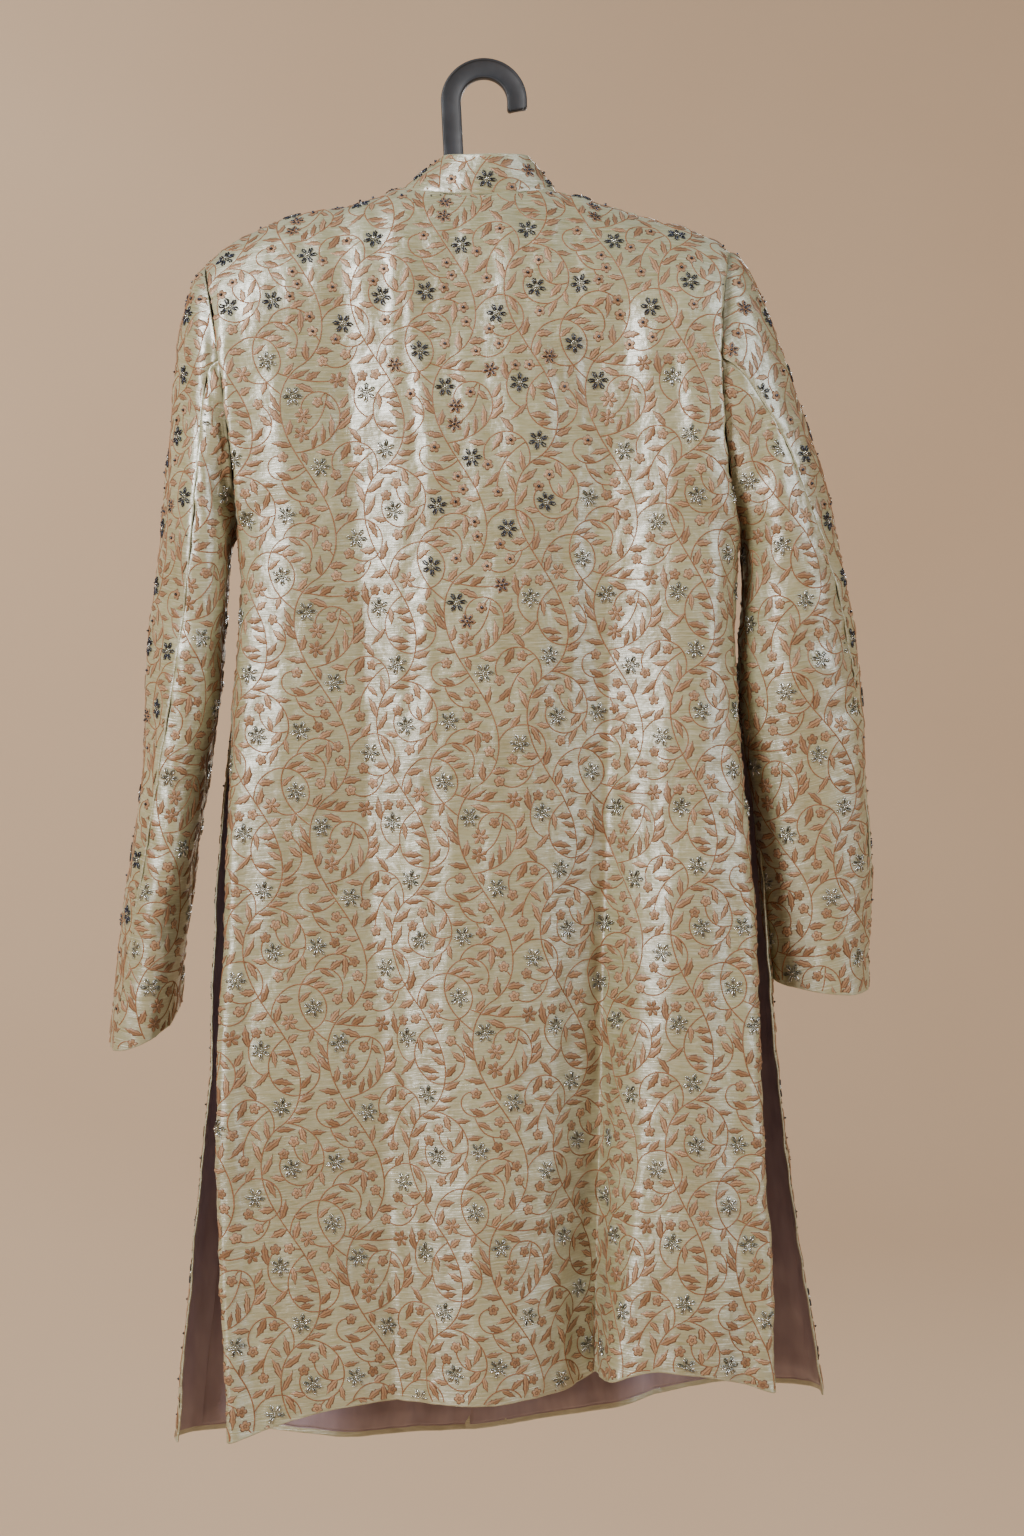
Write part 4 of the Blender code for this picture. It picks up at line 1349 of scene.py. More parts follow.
@dataclass
class SatinStitch(Finish):
    """Rayon floss, laid side by side in satin stitch from a leaf's edge to its rib.

    The floss is peach and shines softly across its threads, inside a darker outline in
    stem stitch, with the same dark line down the rib. The outline's brown is made darker
    as painted shade at the leaf's raised edge.
    """

    name: str = "satin_stitch_rayon"
    pale: str = "#bb9370"
    rosy: str = "#8f6745"
    # Brown of the outline and rib, made darker as painted shade at the leaf's edge.
    outline: str = "#573623"
    thread: float = 0.8  # real floss is about 0.4 mm wide, too fine to show
    thread_length: float = 500.0
    outline_and_shade_ends: tuple[float, float] = (0.28, 0.42)
    rib_starts: tuple[float, float] = (0.84, 0.9)
    rib_share: float = 0.75

    def shade(self) -> NodeSocket:
        """Adds the outline with its painted shade, the rib, the floss and its tone.

        Returns:
            The shader.
        """
        node, dark, rgb = self.node, linear(self.outline), {"out": 2, "data_type": "RGBA"}
        v = node("SeparateXYZ", {0: node("UVMap", {}, uv_map="flat")}, 1)
        tone = node("Attribute", {}, "Fac", attribute_name="tone")
        inside, on_rib = (
            node("MapRange", {"Value": v, "From Min": low, "From Max": high})
            for low, high in (self.outline_and_shade_ends, self.rib_starts)
        )
        floss = self.streaks(self.thread, self.thread_length, 0.3, 0.7)
        colour = node("Mix", {0: tone, 6: linear(self.rosy), 7: linear(self.pale)}, **rgb)
        shaded = node("Math", {0: floss, 1: 0.25}, operation="MULTIPLY")
        colour = node("Mix", {0: shaded, 6: colour, 7: dark}, **rgb)
        # Outline band: the stem stitch's own brown, and painted shade at the leaf's edge.
        colour = node("Mix", {0: inside, 6: dark, 7: colour}, **rgb)
        ribbed = node("Math", {0: on_rib, 1: self.rib_share}, operation="MULTIPLY")
        sockets = {
            "Base Color": node("Mix", {0: ribbed, 6: colour, 7: dark}, **rgb),
            "Roughness": 0.45,
            "IOR": 1.8,
            "Specular IOR Level": 0.8,
            "Specular Tint": linear("#f3dfc8"),
            "Sheen Weight": 0.1,
            "Normal": node("Bump", {"Height": floss, "Distance": 0.12 * MM}),
        }
        return node("BsdfPrincipled", sockets)


@dataclass
class CouchedCord(Finish):
    """A two-ply rayon cord, twisted and sewn down, brown, with painted shade in its furrows."""

    name: str = "couched_rayon_cord"
    ply: str = "#a4744f"
    # Painted shade in the furrows between the plies.
    furrow_shade: str = "#7c5033"
    twist: float = 1.6  # real plies turn every 0.8 mm, too close to show
    twist_length: float = 900.0

    def shade(self) -> NodeSocket:
        """Adds the twist, and painted shade in its furrows.

        Returns:
            The shader.
        """
        plies = self.streaks(self.twist, self.twist_length, 0.3, 0.65)
        # The furrows take the darker colour: painted shade between the plies.
        colours = {0: plies, 6: linear(self.furrow_shade), 7: linear(self.ply)}
        sockets = {
            "Base Color": self.node("Mix", colours, 2, data_type="RGBA"),
            "Roughness": 0.5,
            "Specular IOR Level": 0.5,
            "Normal": self.node("Bump", {"Height": plies, "Distance": 0.25 * MM}),
        }
        return self.node("BsdfPrincipled", sockets)


@dataclass
class SilveredBead(Finish):
    """Cut metal beads, plated and facetted, some painted dim at random: a painted reflection."""

    name: str = "silvered_bead"
    bright: str = "#fafbf9"
    # Dim silver: a painted dark reflection on the beads that take it.
    dim_painted_reflection: str = "#686b66"

    def shade(self) -> NodeSocket:
        """Takes each bead's colour and gloss from its tone.

        Returns:
            The shader.
        """
        tone = self.node("Attribute", {}, "Fac", attribute_name="tone")
        # A bead's random tone paints it between its silver and a dim painted reflection.
        colours = {0: tone, 6: linear(self.dim_painted_reflection), 7: linear(self.bright)}
        sockets = {
            "Base Color": self.node("Mix", colours, 2, data_type="RGBA"),
            "Metallic": 1.0,
            "Roughness": self.node("MapRange", {"Value": tone, "To Min": 0.36, "To Max": 0.2}),
        }
        return self.node("BsdfPrincipled", sockets)


@dataclass
class JetGlass(Finish):
    """Pressed black glass beads with a blue cast and a fire-polished gloss."""

    name: str = "jet_glass_bead"
    deep: str = "#13151d"
    blue: str = "#343b4e"

    def shade(self) -> NodeSocket:
        """Takes each bead's cast from its tone.

        Returns:
            The shader.
        """
        tone = self.node("Attribute", {}, "Fac", attribute_name="tone")
        colours = {0: tone, 6: linear(self.deep), 7: linear(self.blue)}
        colour = self.node("Mix", colours, 2, data_type="RGBA")
        return self.node("BsdfPrincipled", {"Base Color": colour, "Roughness": 0.13, "IOR": 1.65})


@dataclass
class LiningSatin(Finish):
    """Viscose satin, machine woven with long floats, which shine in soft wide bands."""

    name: str = "lining_satin"
    colour: str = "#a3919a"
    shaded: str = "#8c7a84"
    float_size: tuple[float, float] = (0.8, 9.0)  # real ones, 0.15 mm wide, are too fine to show
    crease_size: tuple[float, float] = (16.0, 55.0)

    def shade(self) -> NodeSocket:
        """Adds the floats and the faint creases, with painted shade in the creases' troughs.

        Returns:
            The shader.
        """
        floats = self.streaks(*self.float_size, 0.3, 0.7)
        creases = self.streaks(*self.crease_size, 0.3, 0.7)
        # The creases' troughs take the shaded colour: painted shade.
        colours = {0: creases, 6: linear(self.shaded), 7: linear(self.colour)}
        soft = self.node("Bump", {"Height": creases, "Distance": 0.5 * MM})
        fine = {"Height": floats, "Distance": 0.02 * MM, "Normal": soft}
        sockets = {
            "Base Color": self.node("Mix", colours, 2, data_type="RGBA"),
            "Roughness": 0.34,
            "Specular IOR Level": 0.6,
            "Sheen Weight": 0.12,
            "Normal": self.node("Bump", fine),
        }
        return self.node("BsdfPrincipled", sockets)


@dataclass
class MouldedPlastic(Finish):
    """Injection-moulded ABS with a fine spark-eroded grain, satin and nearly black."""

    name: str = "moulded_abs"
    colour: str = "#212328"
    rubbed: str = "#303238"
    grain: float = 0.8
    patch: float = 18.0

    def shade(self) -> NodeSocket:
        """Adds the grain and the rubbed patches.

        Returns:
            The shader.
        """
        place = self.node("TexCoord", {}, "Object")
        fine, broad = (
            self.node("TexNoise", {"Vector": place, "Scale": 1 / (size * MM), "Detail": detail})
            for size, detail in ((self.grain, 1.0), (self.patch, 3.0))
        )
        worn = self.node("MapRange", {"Value": broad, "From Min": 0.45, "From Max": 0.7})
        colours = {0: worn, 6: linear(self.colour), 7: linear(self.rubbed)}
        sockets = {
            "Base Color": self.node("Mix", colours, 2, data_type="RGBA"),
            "Roughness": self.node("MapRange", {"Value": worn, "To Min": 0.56, "To Max": 0.46}),
            "IOR": 1.54,
            "Normal": self.node("Bump", {"Height": fine, "Distance": 0.03 * MM}),
        }
        return self.node("BsdfPrincipled", sockets)


@dataclass
class StudioPaper(Finish):
    """Seamless background paper, matt and pale."""

    name: str = "background_paper"
    colour: str = "#dcc3a6"
    shaded: str = "#d7bc9e"

    def shade(self) -> NodeSocket:
        """Adds the paper's faint unevenness.

        Returns:
            The shader.
        """
        place = self.node("TexCoord", {}, "Object")
        uneven = self.node("TexNoise", {"Vector": place, "Scale": 1.5, "Detail": 1.0})
        colours = {0: uneven, 6: linear(self.shaded), 7: linear(self.colour)}
        colour = self.node("Mix", colours, 2, data_type="RGBA")
        return self.node("BsdfPrincipled", {"Base Color": colour, "Roughness": 0.9})


# --- embroidery --------------------------------------------------------------------------


class Yarn(Enum):
    """What a motif is stitched in, with its slot in the joined mesh."""

    SATIN = 0
    CORD = 1


class BeadUse(Enum):
    """Where a bead is sewn."""

    PETAL = 0  # on a beaded flower
    ACCENT = 1  # on a stitched flower, where the flowers are beaded in jet
    EYE = 2  # in a beaded flower's eye, always in silver


class Bloom(Enum):
    """What a sprig ends in."""

    NONE = 0
    BUD = 1  # a small five-petalled flower
    STAR = 2  # a larger flower of six pointed petals


@dataclass(frozen=True)
class Motif:
    """Flat stitches: places, height over the cloth, UV, triangles and yarn.

    uv holds the length along the stitches in millimetres, and a number that runs from 0
    at the motif's outline to 1 at its rib.
    """

    xy: Array
    lift: Array
    uv: Array
    tris: Array
    yarn: Yarn

    def placed(self, x: float, y: float, degrees: float) -> Motif:
        """The same motif, turned and moved.

        Args:
            x: How far it moves across.
            y: How far it moves upwards.
            degrees: How far it turns leftwards.

        Returns:
            The new motif.
        """
        c, s = math.cos(math.radians(degrees)), math.sin(math.radians(degrees))
        turned = self.xy @ np.array([[c, s], [-s, c]]) + (x, y)
        return Motif(turned, self.lift, self.uv, self.tris, self.yarn)


def ridge(line: Array, left: Array, right: Array, lift: Array, length: Array, yarn: Yarn) -> Motif:
    """A ridge of stitches along a line, from its left edge over its crest to its right edge.

    Args:
        line: Places along the crest.
        left: Offsets from the crest to the left edge.
        right: Offsets from the crest to the right edge.
        lift: Heights of both edges and of the crest, for each place.
        length: Length along the stitches at each place.
        yarn: What it is stitched in.

    Returns:
        The motif.
    """
    xy = np.stack([line + left, line, line - right], axis=1)
    v = np.tile([0.0, 1.0, 0.0], (len(line), 1))
    uv = np.stack([np.repeat(length[:, None], 3, axis=1), v], axis=-1)
    quads = grid_faces(len(line), 3)
    tris = np.concatenate([quads[:, [2, 1, 0]], quads[:, [3, 2, 0]]])
    return Motif(xy.reshape(-1, 2), lift.ravel(), uv.reshape(-1, 2), tris, yarn)


def walked(steps: Array, headings: Array) -> Array:
    """Places of a walk from the origin, by the length and the heading of each step."""
    way = np.stack([np.cos(headings), np.sin(headings)], axis=1)
    return np.concatenate([[[0.0, 0.0]], np.cumsum(steps[:, None] * way, axis=0)])


def leaf(length: float, half: float, bend: float, barbs: bool = True) -> Motif:
    """A lance leaf in satin stitch: a bent rib with a barbed edge on each side of it.

    The rib's heading turns evenly by bend degrees, and each edge stands off it by a share
    of half that comes from a short list.

    Args:
        length: Length of the rib.
        half: Greatest half width.
        bend: Degrees that the rib turns from base to tip.
        barbs: Whether the edges are barbed, as on leaves, or plain, as on petals.

    Returns:
        The motif, its base at the origin and its tip along +X.
    """
    if barbs:
        at = np.array([0.0, 0.13, 0.28, 0.43, 0.49, 0.63, 0.7, 0.84, 1.0])
        left = np.array([0.02, 0.5, 0.86, 1.12, 0.74, 0.92, 0.56, 0.34, 0.0])
        right = np.array([0.02, 0.6, 0.98, 0.84, 0.9, 1.02, 0.6, 0.3, 0.0])
    else:
        at = np.array([0.0, 0.3, 0.62, 0.8, 1.0])
        left = np.array([0.12, 0.62, 1.0, 0.72, 0.0])
        right = left
    level = 0.35  # share of the rib at which it heads along +X
    rib = walked(np.diff(at) * length, np.radians(bend * ((at[1:] + at[:-1]) / 2 - level)))
    heading = np.radians(bend * (at - level))
    out = np.stack([-np.sin(heading), np.cos(heading)], axis=1) * half
    lift = np.tile([0.06, 0.95, 0.06], (len(at), 1))
    lift[[0, -1], 1] = 0.15
    left, right = out * left[:, None], out * right[:, None]
    return ridge(rib, left, right, lift, at * length, Yarn.SATIN)


def rosette(radius: float, petals: int, notch: float, round_to: float) -> Motif:
    """A flower of round petals about an eye, as rings of stitches.

    Each petal has four points round it, from one notch to the next. The outline's radius
    is the petal's own at the notch, the two shoulders and the tip.

    Args:
        radius: To a petal's tip.
        petals: Number of petals.
        notch: Share of the radius at the notch between two petals.
        round_to: Share of the radius at a petal's shoulders.

    Returns:
        The motif, about the origin.
    """
    turn = np.array([0.0, 0.22, 0.5, 0.78])
    angle = 2 * math.pi * ((np.arange(petals)[:, None] + turn) / petals).ravel()
    edge = np.tile([notch, round_to, 1.0, round_to], petals)
    count = len(angle)
    ring = np.stack([np.cos(angle), np.sin(angle)], axis=1)
    shares = ((edge, 0.06, 0.0), (edge * 0.62, 0.8, 0.7), (np.full(count, 0.2), 0.35, 1.0))
    xy = np.concatenate([ring * (share * radius)[:, None] for share, _, _ in shares])
    lift = np.concatenate([np.full(count, up) for _, up, _ in shares])
    v = np.concatenate([np.full(count, value) for _, _, value in shares])
    u = np.tile(angle * radius, 3)
    first = np.arange(count)
    after = np.roll(first, -1)
    tris = []
    for k in range(2):
        a, b = first + k * count, after + k * count
        tris += [np.stack([a, b, b + count], 1), np.stack([a, b + count, a + count], 1)]
    tris.append(np.stack([first + 2 * count, after + 2 * count, np.full(count, 3 * count)], 1))
    xy = np.concatenate([xy, [[0.0, 0.0]]])
    uv = np.stack([np.append(u, 0.0), np.append(v, 0.3)], axis=1)
    return Motif(xy, np.append(lift, 0.75), uv, np.concatenate(tris), Yarn.SATIN)


def cord(line: Array, width: float) -> Motif:
    """A couched cord: a low ridge along a line, tapering at both its ends.

    Args:
        line: Places along the cord.
        width: Width of the ridge.

    Returns:
        The motif.
    """
    length = lengths(line)
    taper = np.minimum(1.0, 0.35 + np.minimum(length, length[-1] - length) / 3.0)
    out = across_line(line)[1] * (width / 2 * taper)[:, None]
    lift = np.tile([0.04, 0.6, 0.04], (len(line), 1))
    return ridge(line, out, out, lift, length, Yarn.CORD)


# A bead is a bar of four long facets between two blunt points: places along it as shares
# of its length, places across and heights as shares of its width.
BEAD_ALONG = np.array([0.0, *(0.16,) * 4, *(0.84,) * 4, 1.0])
BEAD_ACROSS = np.array([0.0, *(0.5, 0.0, -0.5, 0.0) * 2, 0.0])
BEAD_UP = np.array([0.5, *(0.5, 1.1, 0.5, 0.04) * 2, 0.5])
BEAD_CLEAR = 0.1
NEAR, FAR = np.arange(1, 5), np.arange(5, 9)
BEAD_TRIS = np.concatenate(
    [
        np.stack([np.zeros(4, int), np.roll(NEAR, -1), NEAR], 1),
        np.stack([NEAR, np.roll(NEAR, -1), np.roll(FAR, -1)], 1),
        np.stack([NEAR, np.roll(FAR, -1), FAR], 1),
        np.stack([FAR, np.roll(FAR, -1), np.full(4, 9)], 1),
    ]
)


@dataclass(frozen=True)
class Beadwork:
    """Beads of one repeat, a row for each: points, heights, flower, use and tone.

    flower is the middle of the flower that a bead belongs to.
    """

    xy: Array
    lift: Array
    flower: Array
    use: Array
    tone: Array

    @classmethod
    def string(cls, rows: Array) -> Beadwork:
        """Shapes the beads.

        Args:
            rows: x, y, degrees, length, width, flower x, flower y and use of each bead.

        Returns:
            The beadwork.
        """
        x, y, degrees, length, width, flower_x, flower_y, use = rows.T
        turn = np.radians(degrees)[:, None]
        along = length[:, None] * BEAD_ALONG
        across = width[:, None] * BEAD_ACROSS
        bead_x = x[:, None] + along * np.cos(turn) - across * np.sin(turn)
        bead_y = y[:, None] + along * np.sin(turn) + across * np.cos(turn)
        xy, flower = np.stack([bead_x, bead_y], axis=-1), np.stack([flower_x, flower_y], 1)
        tone = np.random.default_rng(5).uniform(size=len(rows))
        return cls(xy, width[:, None] * BEAD_UP + BEAD_CLEAR, flower, use, tone)


def sewn(x: float, y: float, beads: Sequence[tuple[float, ...]]) -> list[tuple[float, ...]]:
    """Places beads about a flower's middle.

    Args:
        x: The flower's place across.
        y: Its place upwards.
        beads: For each bead, its heading in degrees, how far out along it and how far
            aside of it the bead starts, its splay in degrees, length, width and use.

    Returns:
        Rows as Beadwork.string takes them.
    """
    rows = []
    for turn, out, aside, splay, length, width, use in beads:
        c, s = math.cos(math.radians(turn)), math.sin(math.radians(turn))
        foot = (x + out * c - aside * s, y + out * s + aside * c)
        rows.append((*foot, turn + splay, length, width, x, y, float(use.value)))
    return rows


def beaded_flower(degrees: float) -> list[tuple[float, ...]]:
    """A beaded flower: six petals, each a splayed pair of bugles with a seed at its tip.

    Small silver seeds fill the eye and shine between the petals' feet.

    Args:
        degrees: Heading of its first petal.

    Returns:
        Beads as sewn takes them.
    """
    beads = [(0.0, -0.9, 0.0, 0.0, 1.8, 1.8, BeadUse.EYE)]
    for turn in degrees + 60.0 * np.arange(6):
        beads += [
            (turn + 30.0, 1.3, 0.0, 0.0, 1.4, 1.2, BeadUse.EYE),
            (turn, 2.5, -0.62, -8.0, 5.3, 1.35, BeadUse.PETAL),
            (turn, 2.5, 0.62, 8.0, 5.3, 1.35, BeadUse.PETAL),
            (turn, 7.2, 0.0, 0.0, 1.5, 1.3, BeadUse.PETAL),
        ]
    return beads


def accents(degrees: float, spokes: int) -> list[tuple[float, ...]]:
    """Beads on a stitched flower: one at its eye, and one along each of its spokes.

    Args:
        degrees: Heading of its first spoke.
        spokes: Number of spokes.

    Returns:
        Beads as sewn takes them.
    """
    turns = degrees + np.arange(spokes) * 360.0 / max(spokes, 1)
    eye = (0.0, -1.2, 0.0, 0.0, 2.4, 2.3, BeadUse.ACCENT)
    return [eye, *((turn, 1.9, 0.0, 0.0, 4.0, 1.4, BeadUse.ACCENT) for turn in turns)]


def joined(motifs: Sequence[Motif]) -> Motif:
    """Several motifs as one.

    Args:
        motifs: The motifs.

    Returns:
        One motif, in the first one's yarn.
    """
    starts = np.cumsum([0, *(len(m.xy) for m in motifs[:-1])])
    return Motif(
        np.concatenate([m.xy for m in motifs]),
        np.concatenate([m.lift for m in motifs]),
        np.concatenate([m.uv for m in motifs]),
        np.concatenate([m.tris + start for m, start in zip(motifs, starts)]),
        motifs[0].yarn,
    )


@dataclass(frozen=True)
class Sprig:
    """A stem of the repeat: start, heading, length and how tightly it curls at both ends.

    The curls are in degrees of turn for each millimetre, leftwards over 0. leaves is the
    pitch of its leaves.
    """

    x: float
    y: float
    heading: float
    length: float
    curl_start: float
    curl_end: float
    leaves: float
    bloom: Bloom

    def line(self, step: float = 3.0) -> Array:
        """The stem's places, where its curl changes evenly with its length.

        Args:
            step: Pitch of the places.

        Returns:
            The places.
        """
        at = np.linspace(0.0, self.length, max(3, round(self.length / step) + 1))
        change = (self.curl_end - self.curl_start) / self.length
        turn = np.radians(self.heading + self.curl_start * at + change * at**2 / 2)
        return walked(np.diff(at), (turn[1:] + turn[:-1]) / 2) + (self.x, self.y)


SPRIGS = Table("""x y heading length curl_start curl_end leaves bloom
    24 0 27.4 206 1.802 -1.802 10.2 0
    89 91.5 27.4 206 1.802 -1.802 10.2 0
    27.5 2.2 351 121 -1.15 -3.91 9.2 1
    34 73.5 207 121 1.79 3.32 9.2 1
    23.7 92 85 121 -1.85 -3.56 9.2 2
    17.1 178.2 70 79 2.46 3.47 9.2 1
    109 128.4 62 97 -2.28 -3.91 9.2 1
    87.7 2.3 220 60 -0.73 -7.85 9.2 1
    79.6 16.9 6 114 0.5 4.61 9.2 2
    70.6 67 140 120 -0.38 -4.34 9.2 1
    58 148.7 206 39 -3.57 -3.02 9.2 1
    18.2 42.3 172 48 -3.24 -2.16 9.2 1
    68.3 85.8 337 52 0.34 0.89 9.2 2
    15.4 14.2 209 51 0.79 1.83 9.2 1
    7.8 105.9 255 41 -1.57 -4.84 9.2 1
    66 177.5 284 35 0.81 5.47 9.2 1
    109.5 66.1 258 43 -0.25 -2.71 9.2 2
    63.5 128 71 43 -3.35 -2.24 9.2 1""")
BEADED_FLOWERS = Table("""x y degrees
    99.5 3.5 0
    26 15.5 17
    60.5 96.5 34
    126.5 125 51
    68 147.5 8
    12.5 65 25
    30.5 146 42
    80 65 59""")


@dataclass
class VineRepeat:
    """The repeat of the embroidery: listed stems, with leaves grown along them.

    Every heading is in degrees, leftwards from +X. leaf_swing is how far a leaf turns
    away from its stem, and leaf_half is the mean of the leaves' half widths.
    """

    width: float = 130.0
    height: float = 183.0
    cord_width: float = 1.1
    bud_radius: float = 5.1
    star_radius: float = 7.8
    leaf_swing: float = 52.0
    leaf_half: float = 2.95
    stalk: float = 10.0
    stem_room: float = 0.7
    beads_room: float = 8.0
    taken: list[Array] = field(default_factory=list)
    motifs: list[Motif] = field(default_factory=list)
    bead_rows: list[tuple[float, ...]] = field(default_factory=list)

    def __post_init__(self) -> None:
        """Grows the repeat: flowers first, then stems, then leaves where they fit in."""
        sprigs = [Sprig(*row[:-1], Bloom(row[-1])) for row in SPRIGS.rows]
        lines = [sprig.line() for sprig in sprigs]
        for x, y, degrees in BEADED_FLOWERS.rows:
            self.bead_rows += sewn(x, y, beaded_flower(degrees))
            self.take(np.array([[x, y]]), self.beads_room)
        for sprig, line in zip(sprigs, lines):
            self.motifs.append(cord(line, self.cord_width))
            self.flower(sprig.bloom, line)
        for line in lines:
            self.take(line, self.stem_room)
        for sprig, line in zip(sprigs, lines):
            self.grow_leaves(line, sprig.leaves)

    def clear(self, places: Array, room: float) -> bool:
        """Whether places keep clear of all that is stitched, across the repeat's edges too.

        Args:
            places: The places.
            room: How far from the stitches each one must be.

        Returns:
            Whether all of them are.
        """
        others = np.concatenate(self.taken)
        away = places[:, None] - others[None, :, :2]
        size = np.array([self.width, self.height])
        away = (away + size / 2) % size - size / 2
        return bool((np.linalg.norm(away, axis=-1) > room + others[None, :, 2]).all())

    def take(self, places: Array, radius: float) -> None:
        """Marks places as stitched, each with the radius of its stitches."""
        self.taken.append(np.column_stack([places, np.full(len(places), radius)]))

    def flower(self, bloom: Bloom, line: Array) -> None:
        """Stitches the flower that a stem ends in, with its beads.

        Args:
            bloom: The flower.
            line: The stem's places.
        """
        if bloom is Bloom.NONE:
            return
        x, y = line[-1]
        turn = math.degrees(math.atan2(*(line[-1] - line[-2])[::-1]))
        if bloom is Bloom.BUD:
            radius, spokes, motif = self.bud_radius, 0, rosette(self.bud_radius, 5, 0.66, 0.93)
        else:
            radius, spokes, motif = self.star_radius, 6, star_flower(self.star_radius)
        self.motifs.append(motif.placed(x, y, turn))
        self.bead_rows += sewn(x, y, accents(turn, spokes))
        self.take(line[-1:], radius)

    def grow_leaf(self, foot: Array, degrees: float, length: float) -> bool:
        """Stitches a leaf where one fits in, tried at a few angles and shorter lengths.

        Args:
            foot: Where it leaves its stem.
            degrees: Direction wanted.
            length: Length wanted.

        Returns:
            Whether it fitted in.
        """
        for size in (length, 0.88 * length, 0.76 * length):
            for swing in (0.0, 14.0, -14.0, 28.0, -28.0):
                way = unit(degrees + swing)
                rib = foot + way * size * np.array([[0.4], [0.6], [0.8], [1.0]])
                if self.clear(rib, 2.6):
                    self.take(foot + way * size * np.array([[0.25], [0.5], [0.75]]), 2.3)
                    self.take(rib[-1:], 0.6)
                    bend = 26.0 * math.sin(foot @ (0.37, 0.61))
                    half = self.leaf_half + 0.5 * math.sin(foot @ (0.53, 0.29))
                    self.motifs.append(leaf(size, half, bend).placed(*foot, degrees + swing))
                    return True
        return False

    def grow_bud(self, foot: Array, degrees: float) -> bool:
        """Stitches a small flower on a short stalk where one fits in.

        Args:
            foot: Where it leaves its stem.
            degrees: Direction wanted.

        Returns:
            Whether it fitted in.
        """
        for swing in (0.0, 18.0, -18.0):
            way = unit(degrees + swing)
            middle = (foot + way * self.stalk)[None]
            if self.clear(middle, self.bud_radius + 0.6):
                stalk = foot + way * self.stalk * np.array([[0.0], [0.2], [0.4], [0.6]])
                self.motifs.append(cord(stalk, self.cord_width))
                self.flower(Bloom.BUD, np.concatenate([stalk, middle]))
                return True
        return False

    def grow_leaves(self, line: Array, pitch: float) -> None:
        """Leaves along a stem, on its left and on its right in turn, and a bud for every third.

        Args:
            line: The stem's places.
            pitch: Distance from a leaf to the next one.
        """
        length = lengths(line)
        for k, at in enumerate(np.arange(pitch * 0.6, length[-1] - 2.0, pitch)):
            foot, ahead = (
                np.array([np.interp(place, length, line[:, axis]) for axis in (0, 1)])
                for place in (at, at + 1.0)
            )
            turn = math.degrees(math.atan2(*(ahead - foot)[::-1]))
            size = 18.0 + 3.0 * math.sin(2.1 * k + at)
            for side in ((1.0, -1.0), (-1.0, 1.0))[k % 2]:
                swung = turn + side * self.leaf_swing
                if k % 3 == 2 and self.grow_bud(foot, swung) or self.grow_leaf(foot, swung, size):
                    break

    def stitches(self) -> tuple[Motif, Array, Array]:
        """All stitches of the repeat.

        Returns:
            One motif, the slot of each of its triangles and the tone of each of its points.
        """
        draw = np.random.default_rng(7).uniform(size=len(self.motifs))
        slots = [np.full(len(m.tris), m.yarn.value) for m in self.motifs]
        tones = [np.full(len(m.xy), tone) for m, tone in zip(self.motifs, draw)]
        return joined(self.motifs), np.concatenate(slots), np.concatenate(tones)

    def beadwork(self) -> Beadwork:
        """All beads of the repeat."""
        return Beadwork.string(np.array(self.bead_rows))


def unit(degrees: float) -> Array:
    """A step of 1 along a heading."""
    return np.array([math.cos(math.radians(degrees)), math.sin(math.radians(degrees))])


def star_flower(radius: float) -> Motif:
    """The larger flower: six pointed petals round a small rosette.

    Args:
        radius: To a petal's tip.

    Returns:
        The motif, about the origin.
    """
    petals = [leaf(radius, 2.2, 0.0, barbs=False).placed(0.0, 0.0, 60.0 * k) for k in range(6)]
    eye = rosette(2.3, 5, 0.8, 0.95)
    raised = Motif(eye.xy, eye.lift + 0.35, eye.uv, eye.tris, eye.yarn)
    return joined([*petals, raised])


# --- the coat's pieces -------------------------------------------------------------------


def dress(piece: Object, nodes: Sequence[str] = ()) -> Object:
    """Makes a piece ride with the coat and stand for its CAD nodes.

    Args:
        piece: The new object.
        nodes: CAD nodes that it stands for.

    Returns:
        The same object.
    """
    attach(piece, "root")
    if nodes:
        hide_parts(*nodes)
    return piece


@dataclass(frozen=True)
class Finishes:
    """The coat's materials."""

    silk: Material
    satin: Material
    plastic: Material
    stitches: tuple[Material, ...]
    beads: tuple[Material, ...]

    @classmethod
    def make(cls) -> Finishes:
        """Makes each material once.

        Returns:
            The materials.
        """
        stitches = SatinStitch().make(), CouchedCord().make()
        beads = SilveredBead().make(), JetGlass().make()
        silk, satin, plastic = RawSilk().make(), LiningSatin().make(), MouldedPlastic().make()
        return cls(silk, satin, plastic, stitches, beads)


